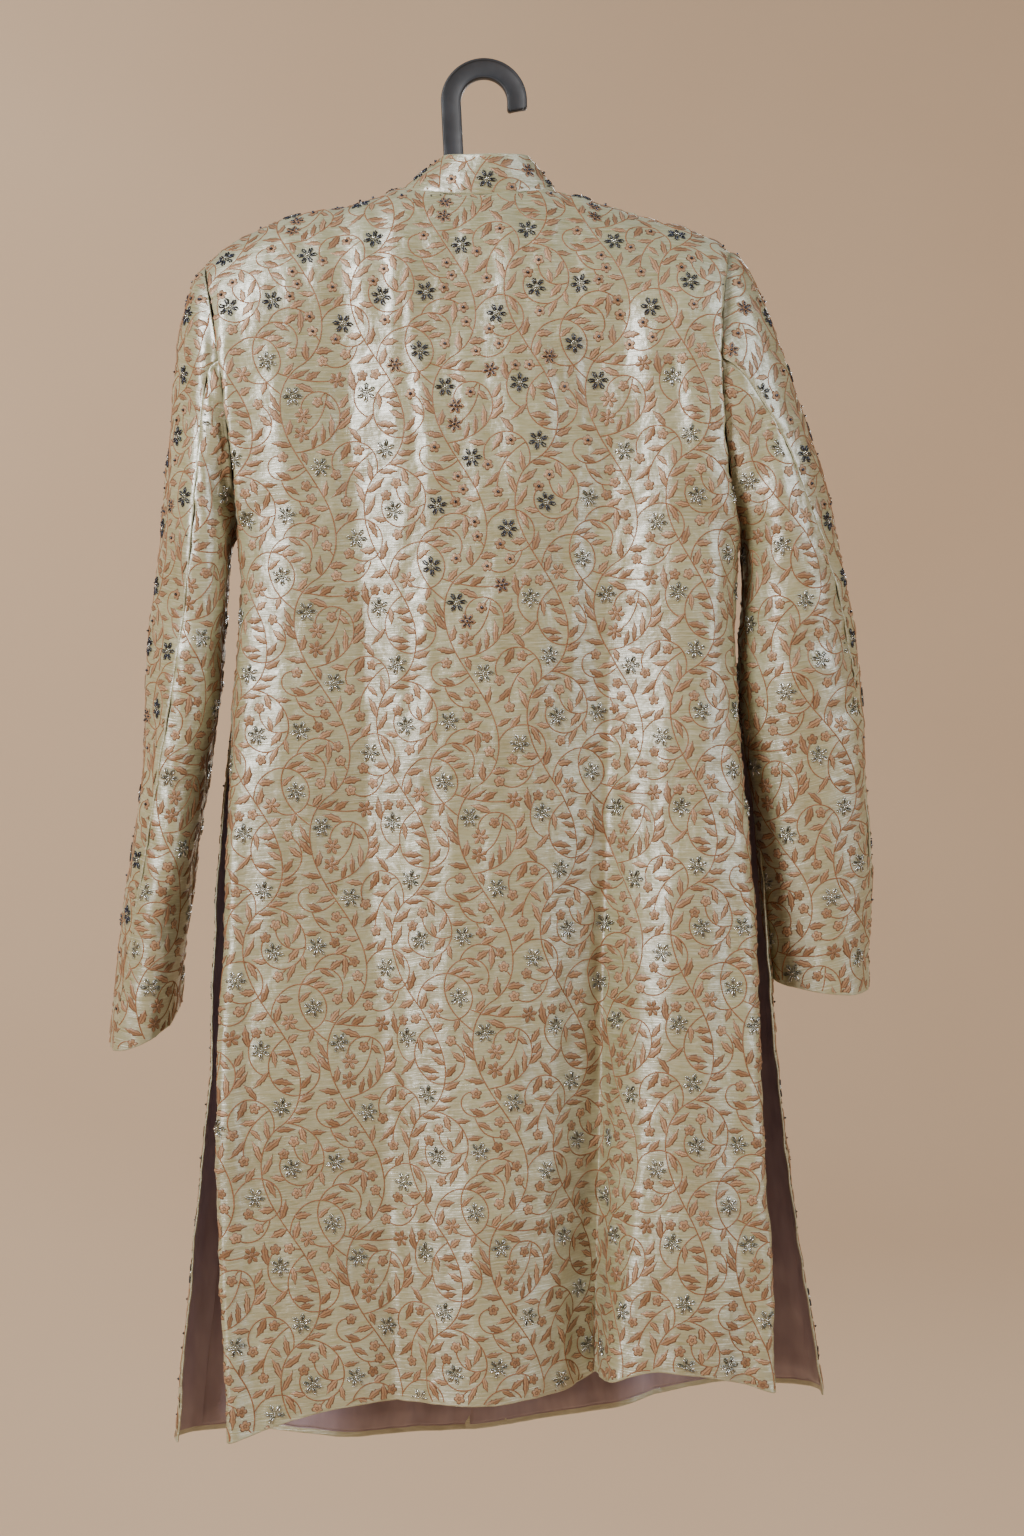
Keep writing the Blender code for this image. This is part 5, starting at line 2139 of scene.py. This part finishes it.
@dataclass(frozen=True)
class CoatBack:
    """The back, cut in one piece from the shoulders to the hem."""

    cut: BodyCut
    step: float = 5.8
    ripples: tuple[Ripple, ...] = (
        Ripple(11, 60.0, 420.0, 0.8),
        Ripple(12, 26.0, 120.0, 0.25),
        Ripple(13, 38.0, 46.0, 0.42),
    )
    # Where the grid crowds over the two steep folds, as the AT_ pairs say.
    at_folds: tuple[tuple[float, float, float], ...] = ((76.0, 1.1, 26.0), (-73.0, 2.4, 30.0))

    def panel(self) -> ClothPanel:
        """The back's grid with its seams, ripples and creases.

        Returns:
            The panel.
        """
        cut = self.cut
        left, right = (cut.armholes[side].top_x for side in Side)
        neck = (cut.neck_centre - cut.neck_half, cut.neck_centre + cut.neck_half)
        tight = [(left, *AT_SEAM), (right, *AT_SEAM), *((x, *AT_NECK) for x in neck)]
        pull = cut.seam_pull
        stations = spaced(left + pull, right - pull, self.step, (*tight, *self.at_folds))
        falls = cut.falls(Facing.BACK, Side.LEFT, self.step)
        fall, x = np.meshgrid(falls, stations, indexing="ij")
        base = cut.points(Facing.BACK, 2 * (x - left) / (right - left) - 1, fall)
        seam = cut.sewn(base)
        middle = int(np.argmin(np.abs(stations - cut.neck_centre)))
        row = int(np.argmin(np.abs(base[:, middle, 2] - CHART_Z)))
        seams = Seams(top=1.0, left=seam, right=seam)
        return ClothPanel(
            "back", base, seams, (row, middle), ripples=self.ripples, creases=BACK_CREASES
        )


BACK_CREASES = Table("""x0 z0 x1 z1 depth spread
    150 -160 60 -320 3 16
    190 -175 96 -340 -2 14
    -205 -250 -190 -520 3 12""")


@dataclass(frozen=True)
class CoatFront:
    """One front, from its side seam to its own edge past the centre line."""

    cut: BodyCut
    side: Side
    step: float = 5.8
    facing: float = 4.5
    chart_column: int = 20  # counted from the front's own edge
    seed: int = 21

    @property
    def name(self) -> str:
        """The front's name, as its CAD node's."""
        return f"front_{self.side.name.lower()}"

    def panel(self) -> ClothPanel:
        """The front's grid with its seams, ripples and creases.

        Returns:
            The panel.
        """
        cut, side = self.cut, self.side
        outer = cut.armholes[side].top_x
        past = cut.lap if side is Side.LEFT else -cut.lap
        edge = cut.centre_top + past
        width = abs(edge - outer)
        neck = (cut.neck_centre + side.value * cut.neck_half - outer) / (edge - outer) * width
        tight = ((0.0, *AT_SEAM), (width, *AT_EDGE), (neck, *AT_NECK))
        share_at = spaced(cut.seam_pull, width, self.step, tight) / width
        fall, share = np.meshgrid(
            cut.falls(Facing.FRONT, side, self.step), share_at, indexing="ij"
        )
        base = cut.front_points(side, past, share, fall)
        seam = cut.sewn(base)
        column = self.chart_column
        if side is Side.LEFT:
            base, seams = base[:, ::-1], Seams(top=1.0, right=seam)
        else:
            seams, column = Seams(top=1.0, left=seam), base.shape[1] - 1 - column
        row = int(np.argmin(np.abs(base[:, self.chart_column, 2] - CHART_Z)))
        seed = self.seed + int(side.value)
        ripples = (
            Ripple(seed, 64.0, 430.0, 0.8),
            Ripple(seed + 3, 27.0, 120.0, 0.22),
            Ripple(seed + 6, 38.0, 46.0, 0.42),
        )
        return ClothPanel(
            self.name,
            base,
            seams,
            (row, column),
            ripples=ripples,
            creases=FRONT_CREASES,
            facing_width=self.facing,
        )


FRONT_CREASES = Table("""x0 z0 x1 z1 depth spread
    -170 -170 -90 -330 2.6 15
    158 -165 78 -330 2.6 15
    -204 -260 -190 -500 2.6 12
    205 -260 196 -500 2.6 12
    -120 -420 -30 -470 1.4 11
    110 -430 34 -470 1.2 11""")


@dataclass(frozen=True)
class FrontLining:
    """The satin that shows inside a front below its side slit, eased in above the hem."""

    front: CoatFront
    edge: float = 4.2
    lap_edge: float = 2.0  # inside the other front's edge, where this one lies over it
    hem: float = 4.5
    gap: float = 0.3
    droop: float = 1.6
    pleat: float = 1.8
    pleat_up: float = 13.0
    pleat_spread: float = 5.0
    side_reach: float = 18.0
    foot_reach: float = 10.0
    foot_ease: float = 0.25
    chart_column: int = 10

    def build(self, finishes: Finishes) -> None:
        """The lining: the front's own grid moved in, with soft ease and a pleat at its foot.

        With d the distance to the nearer side and f the height over the foot, it lies
        further in by ease(d / side_reach) * ease(f / foot_reach + foot_ease) * (droop *
        (1.1 + 0.5 * waves) + pleat * exp(-((f - pleat_up) / pleat_spread)^2)).

        Args:
            finishes: The coat's materials.
        """
        front, panel = self.front, self.front.panel()
        away, known = panel.chart.edge_distances(), self.chart_column
        row = slice(
            int(np.argmax(panel.base[:, known, 2] < front.cut.slit_top)),
            int(np.argmax(away["bottom"][:, known] < self.hem)),
        )
        middle = (row.start + row.stop) // 2
        right = 2 * front.cut.lap + self.lap_edge if front.side is Side.LEFT else self.edge
        column = slice(
            int(np.argmax(away["left"][middle] > self.edge)),
            int(np.argmax(away["right"][middle] < right)),
        )
        s, t = panel.chart.s[row, column], panel.chart.t[row, column]
        inset, foot = np.minimum(s - s[:, :1], s[:, -1:] - s), t[-1:] - t
        hold = ease(inset / self.side_reach) * ease(foot / self.foot_reach + self.foot_ease)
        ripple = waves(s, t, 31, 48.0, 360.0) + 0.4 * waves(s, t, 32, 20.0, 90.0)
        pleat = self.pleat * np.exp(-(((foot - self.pleat_up) / self.pleat_spread) ** 2))
        inner = panel.wall + self.gap + hold * (self.droop * (1.1 + 0.5 * ripple) + pleat)
        base = panel.points[row, column] - inner[..., None] * panel.normals[row, column]
        name = f"{front.name}_lining"
        lining = ClothPanel(
            name,
            base[:, ::-1],
            Seams(1.0, 1.0, 1.0, 1.0),
            (4, 4),
            wall=LINING_WALL,
            seam_depth=0.0,
            pucker=0.12,
            facing_width=0.0,
        )
        made = dress(lining.shell(finishes.satin, finishes.satin), (name,))
        declare_sheet(lining, front.name)


def declare_sheet(panel: ClothPanel, rests_on: str) -> None:
    """Works out the size of a panel's flat cut, which is not kept.

    Args:
        panel: The panel that it was made from.
        rests_on: Not used.
    """
    width, length, area = panel.flat_size()


@dataclass(frozen=True)
class CoatSleeve:
    """A sleeve's top or under piece, set into its armhole."""

    cut: SleeveCut
    part: SleevePart
    step: float = 5.2
    chart_row: float = 0.6  # share of the rows

    @property
    def name(self) -> str:
        """The piece's name."""
        return f"{self.cut.side.name.lower()}_{self.part.value}_sleeve"

    @property
    def nodes(self) -> tuple[str, ...]:
        """The CAD nodes that it stands for.

        Returns:
            Their names.
        """
        if self.part is SleevePart.UNDER:
            return (self.name,)
        return tuple(f"{self.name}_{length}" for length in ("head", "elbow", "cuff"))

    def panel(self) -> ClothPanel:
        """The piece's grid with its seams, ripples and creases.

        Returns:
            The panel.
        """
        base = self.cut.grid(self.part, self.step)
        row = int(base.shape[0] * self.chart_row)
        seed = 41 + 2 * int(self.cut.side is Side.LEFT) + int(self.part is SleevePart.TOP)
        return ClothPanel(
            self.name,
            base,
            Seams(top=1.0, left=1.0, right=1.0),
            (row, base.shape[1] // 2),
            ripples=(Ripple(seed, 70.0, 210.0, 1.0), Ripple(seed + 8, 30.0, 50.0, 0.45)),
            creases=SLEEVE_CREASES[self.cut.side],
            seam_depth=0.15,
            pucker=0.35,
        )


SLEEVE_CREASES = {
    Side.LEFT: Table("""x0 z0 x1 z1 depth spread
    -300 -560 -236 -592 2.6 10
    -304 -610 -246 -622 2 9
    -285 -440 -232 -500 2.2 11
    -262 -240 -226 -390 3 12"""),
    Side.RIGHT: Table("""x0 z0 x1 z1 depth spread
    252 -500 318 -492 3.6 9
    250 -520 314 -516 -2.4 8
    286 -560 334 -548 3 8
    242 -572 300 -586 2.4 9
    238 -430 292 -462 2.4 10
    232 -250 240 -420 3 11"""),
}


@dataclass(frozen=True)
class StandCollar:
    """The stand collar, one interfaced band that is open at the centre front."""

    cut: CollarCut
    step: float = 3.2  # degrees, and closer at the ends
    at_ends: tuple[float, float] = (0.8, 10.0)
    rise_step: float = 0.1  # shares of the height, and closer at both edges
    at_edges: tuple[tuple[float, float, float], ...] = ((0.0, 0.03, 0.3), (1.0, 0.025, 0.3))

    def panel(self) -> ClothPanel:
        """The collar's grid, top edge first.

        Returns:
            The panel.
        """
        end = self.cut.end_deg
        around = spaced(-end, end, self.step, [(at, *self.at_ends) for at in (-end, end)])
        up = spaced(0.0, 1.0, self.rise_step, self.at_edges)[::-1]
        rise, angle = np.meshgrid(up, np.radians(around), indexing="ij")
        base = self.cut.points(angle, rise)
        return ClothPanel(
            "collar",
            base,
            Seams(bottom=1.0),
            (base.shape[0] // 2, base.shape[1] // 2),
            wall=COLLAR_WALL,
            ripples=(Ripple(51, 60.0, 60.0, 0.25),),
            seam_depth=0.7,
            seam_spread=1.6,
            pucker=0.2,
            turn_up=2.0,
            turn_up_rise=0.2,
            facing_width=400.0,
        )


@dataclass(frozen=True)
class SuitHanger:
    """The moulded hanger: a flat hook with a raised rim, and broad arms inside the coat."""

    body: BodyCut
    inner_radius: float = 20.2
    band: float = 17.5
    thickness: float = 9.0
    tip: float = 8.0
    rim: float = 2.3
    recess: float = 1.1
    shank_foot: float = -104.8
    shank_bend: float = -66.0
    shank_lean: float = 2.3
    left_x: float = -226.0
    right_x: float = 198.0
    end_rounding: float = 10.0
    hub_dip: float = 5.0
    clear: float = 1.5
    bevel: float = 1.3
    tip_size: float = 0.84
    tip_slant: float = 3.0
    arm_rings: int = 110
    arm_sides: int = 32
    sections: Table = Table("""x half_y half_z
        -226 21 14.5
        -150 20 14.5
        -80 14 13
        -40 11 14
        0 10 16
        40 11 14
        80 14 13
        130 20 14.5
        198 21 14.5""")

    def hook_line(self) -> Array:
        """The hook's middle line: tip, half circle, shank, and a bend back over its foot.

        Returns:
            Places in the XZ plane.
        """
        middle, centre = self.inner_radius + self.band / 2, -self.inner_radius
        tip = np.linspace(centre - self.tip, centre, 5)[:-1]
        arc = np.radians(np.linspace(0.0, 180.0, 61))
        shank, foot = np.linspace(0.0, 1.0, 12)[1:], np.linspace(0.0, 1.0, 14)[1:]
        bend_x, drop = self.shank_lean - middle, self.shank_foot - self.shank_bend
        x = (
            np.full(4, middle), middle * np.cos(arc), self.shank_lean * shank - middle,
            bend_x * (1 - ease(foot)),
        )
        z = (
            tip, centre + middle * np.sin(arc), centre + (self.shank_bend - centre) * shank,
            self.shank_bend + drop * foot,
        )
        return np.stack([np.concatenate(x), np.concatenate(z)], axis=1)

    def profile(self) -> Array:
        """The hook's closed section: a rounded bar with a shallow recess in both faces.

        Returns:
            (place across the band, depth in Y) of each point, going round once.
        """
        half, deep, floor = self.band / 2, self.thickness / 2, self.thickness / 2 - self.recess
        quarter = [
            (0.0, floor),
            (self.rim + 0.7 - half, floor),
            (self.rim - half, floor + 0.35),
            (self.rim - 0.5 - half, deep - 0.05),
            (self.bevel - half, deep),
            (0.3 * self.bevel - half, deep - 0.3 * self.bevel),
            (-half, deep - self.bevel),
        ]
        lower = np.array(quarter)[::-1] * (1, -1)
        left = np.concatenate([quarter, [(-half, 0.0)], lower])
        return np.concatenate([left, (left[-2:0:-1]) * (-1, 1)])

    def hook(self) -> tuple[Array, list[Array]]:
        """The hook: its section carried along its line, smaller and slanted at its tip.

        Returns:
            Points and faces.
        """
        line = self.hook_line()
        along, side = across_line(line)
        section = self.profile()
        ring = np.arange(len(line))
        size = np.where(ring > 0, 1.0, self.tip_size)
        slant = self.tip_slant * np.maximum(0.0, 1 - ring / 5) / self.band
        across = size[:, None] * section[:, 0]
        flat = line[:, None] + across[..., None] * (side - along * slant[:, None])[:, None]
        depth = size[:, None] * section[:, 1]
        grid = np.stack([flat[..., 0], depth, flat[..., 1]], axis=-1)
        return capped(grid, grid[[0, -1]].mean(axis=1))

    def arms(self) -> tuple[Array, list[Array]]:
        """The arms and hub: a ball drawn out under the shoulder seams.

        Returns:
            Points and faces.
        """
        share = (1 - np.cos(np.linspace(0.02, 0.98, self.arm_rings) * math.pi)) / 2
        turn = np.linspace(0.0, 2 * math.pi, self.arm_sides + 1)[:-1]
        along, around = np.meshgrid(share, turn, indexing="ij")
        x = self.left_x + (self.right_x - self.left_x) * along
        power = self.end_rounding
        swell = (1 - np.abs(2 * along - 1) ** power) ** (2 / power)
        half_y, half_z = (self.sections.read("x", k, x) for k in ("half_y", "half_z"))
        body = self.body
        from_neck = np.abs(x - body.neck_centre) / body.neck_half
        seat = np.where(from_neck < 1, body.neck_z, body.ridge_z(x)) - CLOTH_WALL - self.clear
        middle = seat - self.hub_dip * ease(1.5 - from_neck) - half_z
        y, z = half_y * swell * np.cos(around), middle + half_z * swell * np.sin(around)
        grid = np.stack([x, y, z], axis=-1)
        points, faces = capped(grid, grid[[0, -1]].mean(axis=1))
        return points, [quads[:, ::-1] for quads in faces]

    def build(self, plastic: Material) -> None:
        """Makes the hook and the arms, in the one plastic."""
        for name, shape in (("hanger_hook", self.hook()), ("hanger_arms", self.arms())):
            dress(add_piece(f"{name}_moulding", *shape, (plastic,)), (name,))


# --- the embroidery on the panels --------------------------------------------------------


class BeadScheme(Enum):
    """Which beads a panel's flowers are sewn with."""

    YOKE = "jet over the shoulders and down a point at the middle, silver below"
    JET = "jet all over"
    SILVER = "silver all over"


@dataclass(frozen=True)
class Embroidery:
    """The embroidered yardage that a panel is cut from, worked onto the panel's surface.

    The repeat is laid over the panel's flat chart, shifted by a phase of its own, and each
    of its points is carried to the same place on the bent cloth and raised along the
    normal. Stitches are cut off at the panel's edges, and beads there are left out whole.
    """

    panel: ClothPanel
    repeat: VineRepeat
    shift: tuple[float, float]
    scheme: BeadScheme
    cloth_edge: float = 0.8
    bead_edge: float = 2.6
    yoke: Table = Table("""z left right
        -484 -22 12
        -440 -42 18
        -387 -54 46
        -336 -60 92
        -256 -92 102
        -232 -190 190
        -222 -300 300
        -60 -300 300""")

    def offsets(self) -> Array:
        """The places of all repeats that may reach the panel's flat cut.

        Returns:
            The places.
        """
        chart, axes = self.panel.pattern, []
        flat, size = (chart.s, -chart.t), (self.repeat.width, self.repeat.height)
        for place, pitch, shift in zip(flat, size, self.shift):
            first = math.floor((place.min() - shift) / pitch) - 1
            last = math.ceil((place.max() - shift) / pitch)
            axes.append(np.arange(first, last + 1) * pitch + shift)
        return np.stack(np.meshgrid(*axes), axis=-1).reshape(-1, 2)

    def carried(self, xy: Array, lift: Array) -> tuple[Array, Array]:
        """Carries flat points onto the bent cloth.

        Args:
            xy: Flat places, Y upwards.
            lift: Heights over the cloth.

        Returns:
            Points, and how far each lies from the nearest edge, or -1 off the cloth.
        """
        panel = self.panel
        row, column = panel.pattern.locate(xy[:, 0], -xy[:, 1])
        last_row, last_column = panel.points.shape[0] - 1, panel.points.shape[1] - 1
        on = (row >= 0) & (row <= last_row) & (column >= 0) & (column <= last_column)
        row, column = np.where(on, row, 0.0), np.where(on, column, 0.0)
        near = np.minimum.reduce(list(panel.chart.edge_distances().values()))
        points = sample(panel.points, row, column)
        normals = normed(sample(panel.normals, row, column))
        return points + lift[:, None] * normals, np.where(on, sample(near, row, column), -1.0)

    def stitch(self, finishes: Sequence[Material]) -> Object:
        """The satin stitches and couched cords, cut off at the panel's edges.

        Args:
            finishes: Of the stitches and of the cords.

        Returns:
            The piece.
        """
        one, slots, tones = self.repeat.stitches()
        offsets = self.offsets()
        many = len(offsets)
        xy = (one.xy[None] + offsets[:, None]).reshape(-1, 2)
        points, away = self.carried(xy, np.tile(one.lift, many))
        starts = np.arange(many) * len(one.xy)
        tris = (one.tris[None] + starts[:, None, None]).reshape(-1, 3)
        kept = (away[tris] > self.cloth_edge).all(axis=1)
        used, renumbered = np.unique(tris[kept], return_inverse=True)
        return add_piece(
            f"{self.panel.name}_embroidery",
            points[used],
            [renumbered.reshape(-1, 3)],
            finishes,
            np.tile(one.uv, (many, 1))[used] * (MM, 1.0),
            np.tile(slots, many)[kept],
            np.tile(tones, many)[used],
        )

    def jet_share(self, places: Array) -> Array:
        """Where flowers are beaded in jet.

        Args:
            places: Middles of the flowers.

        Returns:
            1 in jet and 0 in silver, for each flower.
        """
        if self.scheme is not BeadScheme.YOKE:
            return np.full(len(places), float(self.scheme is BeadScheme.JET))
        z = places[:, 2]
        knots = self.yoke.column("z")
        left, right = (np.interp(z, knots, self.yoke.column(k)) for k in ("left", "right"))
        inside = (places[:, 0] > left) & (places[:, 0] < right) & (z > knots[0])
        return inside.astype(float)

    def bead(self, finishes: Sequence[Material]) -> Object | None:
        """The beads, each one whole, in silver or in jet by the place of their flower.

        Args:
            finishes: Of silver and of jet.

        Returns:
            The piece, or None where no bead fits on the panel.
        """
        one, offsets = self.repeat.beadwork(), self.offsets()
        per, many = one.xy.shape[1], len(offsets)
        xy = (one.xy[None] + offsets[:, None, None]).reshape(-1, 2)
        points, away = self.carried(xy, np.tile(one.lift.ravel(), many))
        points, away = points.reshape(-1, per, 3), away.reshape(-1, per)
        flowers = (one.flower[None] + offsets[:, None]).reshape(-1, 2)
        middle, middle_away = self.carried(flowers, np.zeros(len(flowers)))
        lone = middle_away < 0
        middle[lone] = points[lone].mean(axis=1)
        jet = self.jet_share(middle) > 0.5
        use = np.tile(one.use, many)
        kept = (away > self.bead_edge).all(axis=1) & (jet | (use != BeadUse.ACCENT.value))
        jet &= use != BeadUse.EYE.value
        if not kept.any():
            return None
        beads = points[kept]
        starts = np.arange(len(beads)) * per
        return add_piece(
            f"{self.panel.name}_beads",
            beads.reshape(-1, 3),
            [(BEAD_TRIS[None] + starts[:, None, None]).reshape(-1, 3)],
            finishes,
            None,
            np.repeat(jet[kept].astype(int), len(BEAD_TRIS)),
            np.repeat(np.tile(one.tone, many)[kept], per),
        )


@dataclass(frozen=True)
class CoveredButtons:
    """The front's ball buttons, each a wad of silk gathered and tied behind."""

    count: int = 7
    rings: int = 15
    around: int = 52
    gathers: int = 13
    gather_depth: float = 0.035
    waist: float = 0.62
    waist_rise: float = 0.3
    crown: float = 0.985  # share of the rise from which the crown is flat
    roundness: float = 2.6

    def ball(self, low: Array, high: Array) -> tuple[Array, list[Array]]:
        """One button within a box.

        Rings climb from the cloth to the crown. With r the share of the rise, a ring's
        radius is sqrt(1 - r^roundness), which is drawn in to the waist at its foot, and
        small gathers wave round it and fade at the crown.

        Args:
            low: The box's lowest corner.
            high: The box's highest corner.

        Returns:
            Points and faces.
        """
        rise = np.linspace(0.0, 1.0, self.rings)[:, None]
        angle = np.linspace(0.0, 2 * math.pi, self.around + 1)[:-1]
        bell = np.sqrt(1 - np.clip(rise, 0.0, self.crown) ** self.roundness)
        foot = self.waist + (1 - self.waist) * ease(rise / self.waist_rise)
        wave = 1 - self.gather_depth * (1 - rise) * (1 + np.cos(self.gathers * angle))
        radius = (high[0] - low[0]) / 2 * bell * foot * wave
        x, _, z = (low + high) / 2
        depth = np.broadcast_to(low[1] + (high[1] - low[1]) * rise, radius.shape)
        grid = np.stack([x + radius * np.cos(angle), depth, z + radius * np.sin(angle)], axis=-1)
        return capped(grid, np.array([(x, low[1], z), (x, high[1], z)]))

    def build(self, silk: Material) -> None:
        """Makes the buttons, each in the box of its CAD node.

        Args:
            silk: Their material.
        """
        for name in (f"button_{number}" for number in range(1, self.count + 1)):
            points, faces = self.ball(*(np.array(corner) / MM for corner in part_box(name)))
            made = add_piece(f"covered_{name}", points, faces, (silk,), points[:, [0, 2]] * MM)
            dress(made, (name,))


# --- the studio --------------------------------------------------------------------------


@dataclass(frozen=True)
class SoftLight:
    """A square softbox that faces a point on the coat."""

    name: str
    place: tuple[float, float, float]
    aim: tuple[float, float, float]
    size: float
    watts: float
    colour: str = "#ffffff"

    def build(self) -> None:
        """Adds the light, turned so that its -Z axis points at its aim."""
        lamp = bpy.data.lights.new(self.name, "AREA")
        lamp.shape, lamp.size, lamp.energy = "SQUARE", self.size, self.watts
        lamp.color = linear(self.colour)[:3]
        made = bpy.data.objects.new(self.name, lamp)
        made.location = self.place
        x, y, z = np.array(self.aim) - np.array(self.place)
        tilt, turn = math.atan2(math.hypot(x, y), -z), math.atan2(y, x) - math.pi / 2
        made.rotation_euler = (tilt, 0.0, turn)
        bpy.context.scene.collection.objects.link(made)


@dataclass(frozen=True)
class Studio:
    """A pale floor that rises all round into a curved background, softboxes and the camera."""

    floor_z: float = -2500.0
    radius: float = 5200.0
    cove: float = 2600.0
    wall: float = 4800.0
    arcs: int = 16  # steps round the cove's quarter
    floor_rings: int = 11
    wall_rings: int = 6
    sides: int = 96
    camera_place: tuple[float, float, float] = (0.0245, -2.16, -0.6024)
    lens: float = 57.9
    room: str = "#f4f1ec"
    room_strength: float = 0.2
    lights: tuple[SoftLight, ...] = (
        SoftLight("key", (-1.8, -1.95, 0.85), (0.0, 0.0, -0.4), 0.9, 106.0),
        SoftLight("fill", (2.9, -1.7, 0.9), (0.0, 0.0, -0.4), 1.6, 66.0, "#f0faff"),
        SoftLight("front_key", (0.6, 3.3, 0.7), (0.0, 0.0, -0.6), 1.6, 60.0),
        SoftLight("wall_wash", (-2.2, 1.9, 1.4), (-1.6, 5.2, -0.1), 1.4, 66.0),
    )

    def bowl(self) -> Object:
        """The floor and background: a flat disc, a quarter-round cove and a straight wall.

        Returns:
            The piece, whose faces look inwards and up.
        """
        turn = np.linspace(0.0, math.pi / 2, self.arcs + 1)[1:]
        flat = self.radius - self.cove
        out = (
            np.linspace(0.0, flat, self.floor_rings + 1)[1:],
            flat + self.cove * np.sin(turn),
            np.full(self.wall_rings, self.radius),
        )
        up = (
            np.zeros(self.floor_rings),
            self.cove * (1 - np.cos(turn)),
            np.linspace(self.cove, self.wall, self.wall_rings + 1)[1:],
        )
        around = np.linspace(0.0, 2 * math.pi, self.sides + 1)[:-1]
        out, up = np.concatenate(out)[:, None], np.concatenate(up)[:, None] + self.floor_z
        x, y = out * np.cos(around), out * np.sin(around)
        grid = np.stack([x, y, np.broadcast_to(up, x.shape)], axis=-1)
        points, faces = capped(grid, np.array([[0.0, 0.0, self.floor_z]]))
        return add_piece("background", points, faces, (StudioPaper().make(),))

    def build(self) -> None:
        """Sets up the background, the lights, the even room light and the camera."""
        self.bowl()
        for light in self.lights:
            light.build()
        scene = bpy.context.scene
        scene.world = bpy.data.worlds.new("room")
        scene.world.use_nodes = True
        back = scene.world.node_tree.nodes["Background"].inputs
        back["Color"].default_value = linear(self.room)
        back["Strength"].default_value = self.room_strength
        camera = bpy.data.cameras.new("camera")
        camera.lens = self.lens
        scene.camera = bpy.data.objects.new("camera", camera)
        scene.camera.location = self.camera_place
        scene.camera.rotation_euler = (math.pi / 2, 0.0, 0.0)
        scene.collection.objects.link(scene.camera)


@dataclass(frozen=True)
class Workroom:
    """Makes up the coat's panels: shell, embroidery and beads."""

    finishes: Finishes
    repeat: VineRepeat

    def make_up(self, panel: ClothPanel, nodes: Sequence[str], rests_on: str) -> None:
        """Args:
            panel: The panel.
            nodes: CAD nodes that it stands for.
            rests_on: The CAD node that holds it up.
        """
        inside = self.finishes.silk if panel.name == "collar" else self.finishes.satin
        made = dress(panel.shell(self.finishes.silk, inside), nodes)
        declare_sheet(panel, rests_on)

    def embroider(self, panel: ClothPanel, x: float, y: float, scheme: BeadScheme) -> None:
        """Stitches and beads a panel.

        Args:
            panel: The panel.
            x: How far its repeat is shifted across.
            y: How far its repeat is shifted upwards.
            scheme: Its beads.
        """
        work = Embroidery(panel, self.repeat, (x, y), scheme)
        dress(work.stitch(self.finishes.stitches))
        beads = work.bead(self.finishes.beads)
        if beads is not None:
            dress(beads)


def main() -> None:
    """Builds the coat, its hanger and the studio."""
    logging.basicConfig(level=logging.INFO, format="%(message)s")
    finishes, body = Finishes.make(), BodyCut()
    room = Workroom(finishes, VineRepeat())

    back = CoatBack(body).panel()
    room.make_up(back, ("back",), "hanger_arms")
    room.embroider(back, 20.0, 30.0, BeadScheme.YOKE)
    for side in Side:
        front = CoatFront(body, side)
        panel = front.panel()
        room.make_up(panel, (front.name,), "hanger_arms")
        FrontLining(front).build(finishes)
        room.embroider(panel, 40.0 + 31.0 * side.value, 75.0, BeadScheme.JET)
    for cut in SLEEVE_CUTS:
        for part in SleevePart:
            sleeve = CoatSleeve(cut, part)
            panel = sleeve.panel()
            room.make_up(panel, sleeve.nodes, "back")
            top = part is SleevePart.TOP
            scheme = BeadScheme.JET if top else BeadScheme.SILVER
            room.embroider(panel, 15.0 + 22.0 * cut.side.value, 95.0 if top else 60.0, scheme)
    collar = StandCollar(CollarCut(body)).panel()
    room.make_up(collar, ("collar",), "back")
    room.embroider(collar, 52.0, 12.0, BeadScheme.JET)
    CoveredButtons().build(finishes.silk)
    SuitHanger(body).build(finishes.plastic)
    Studio().build()


if __name__ == "__main__":
    main()
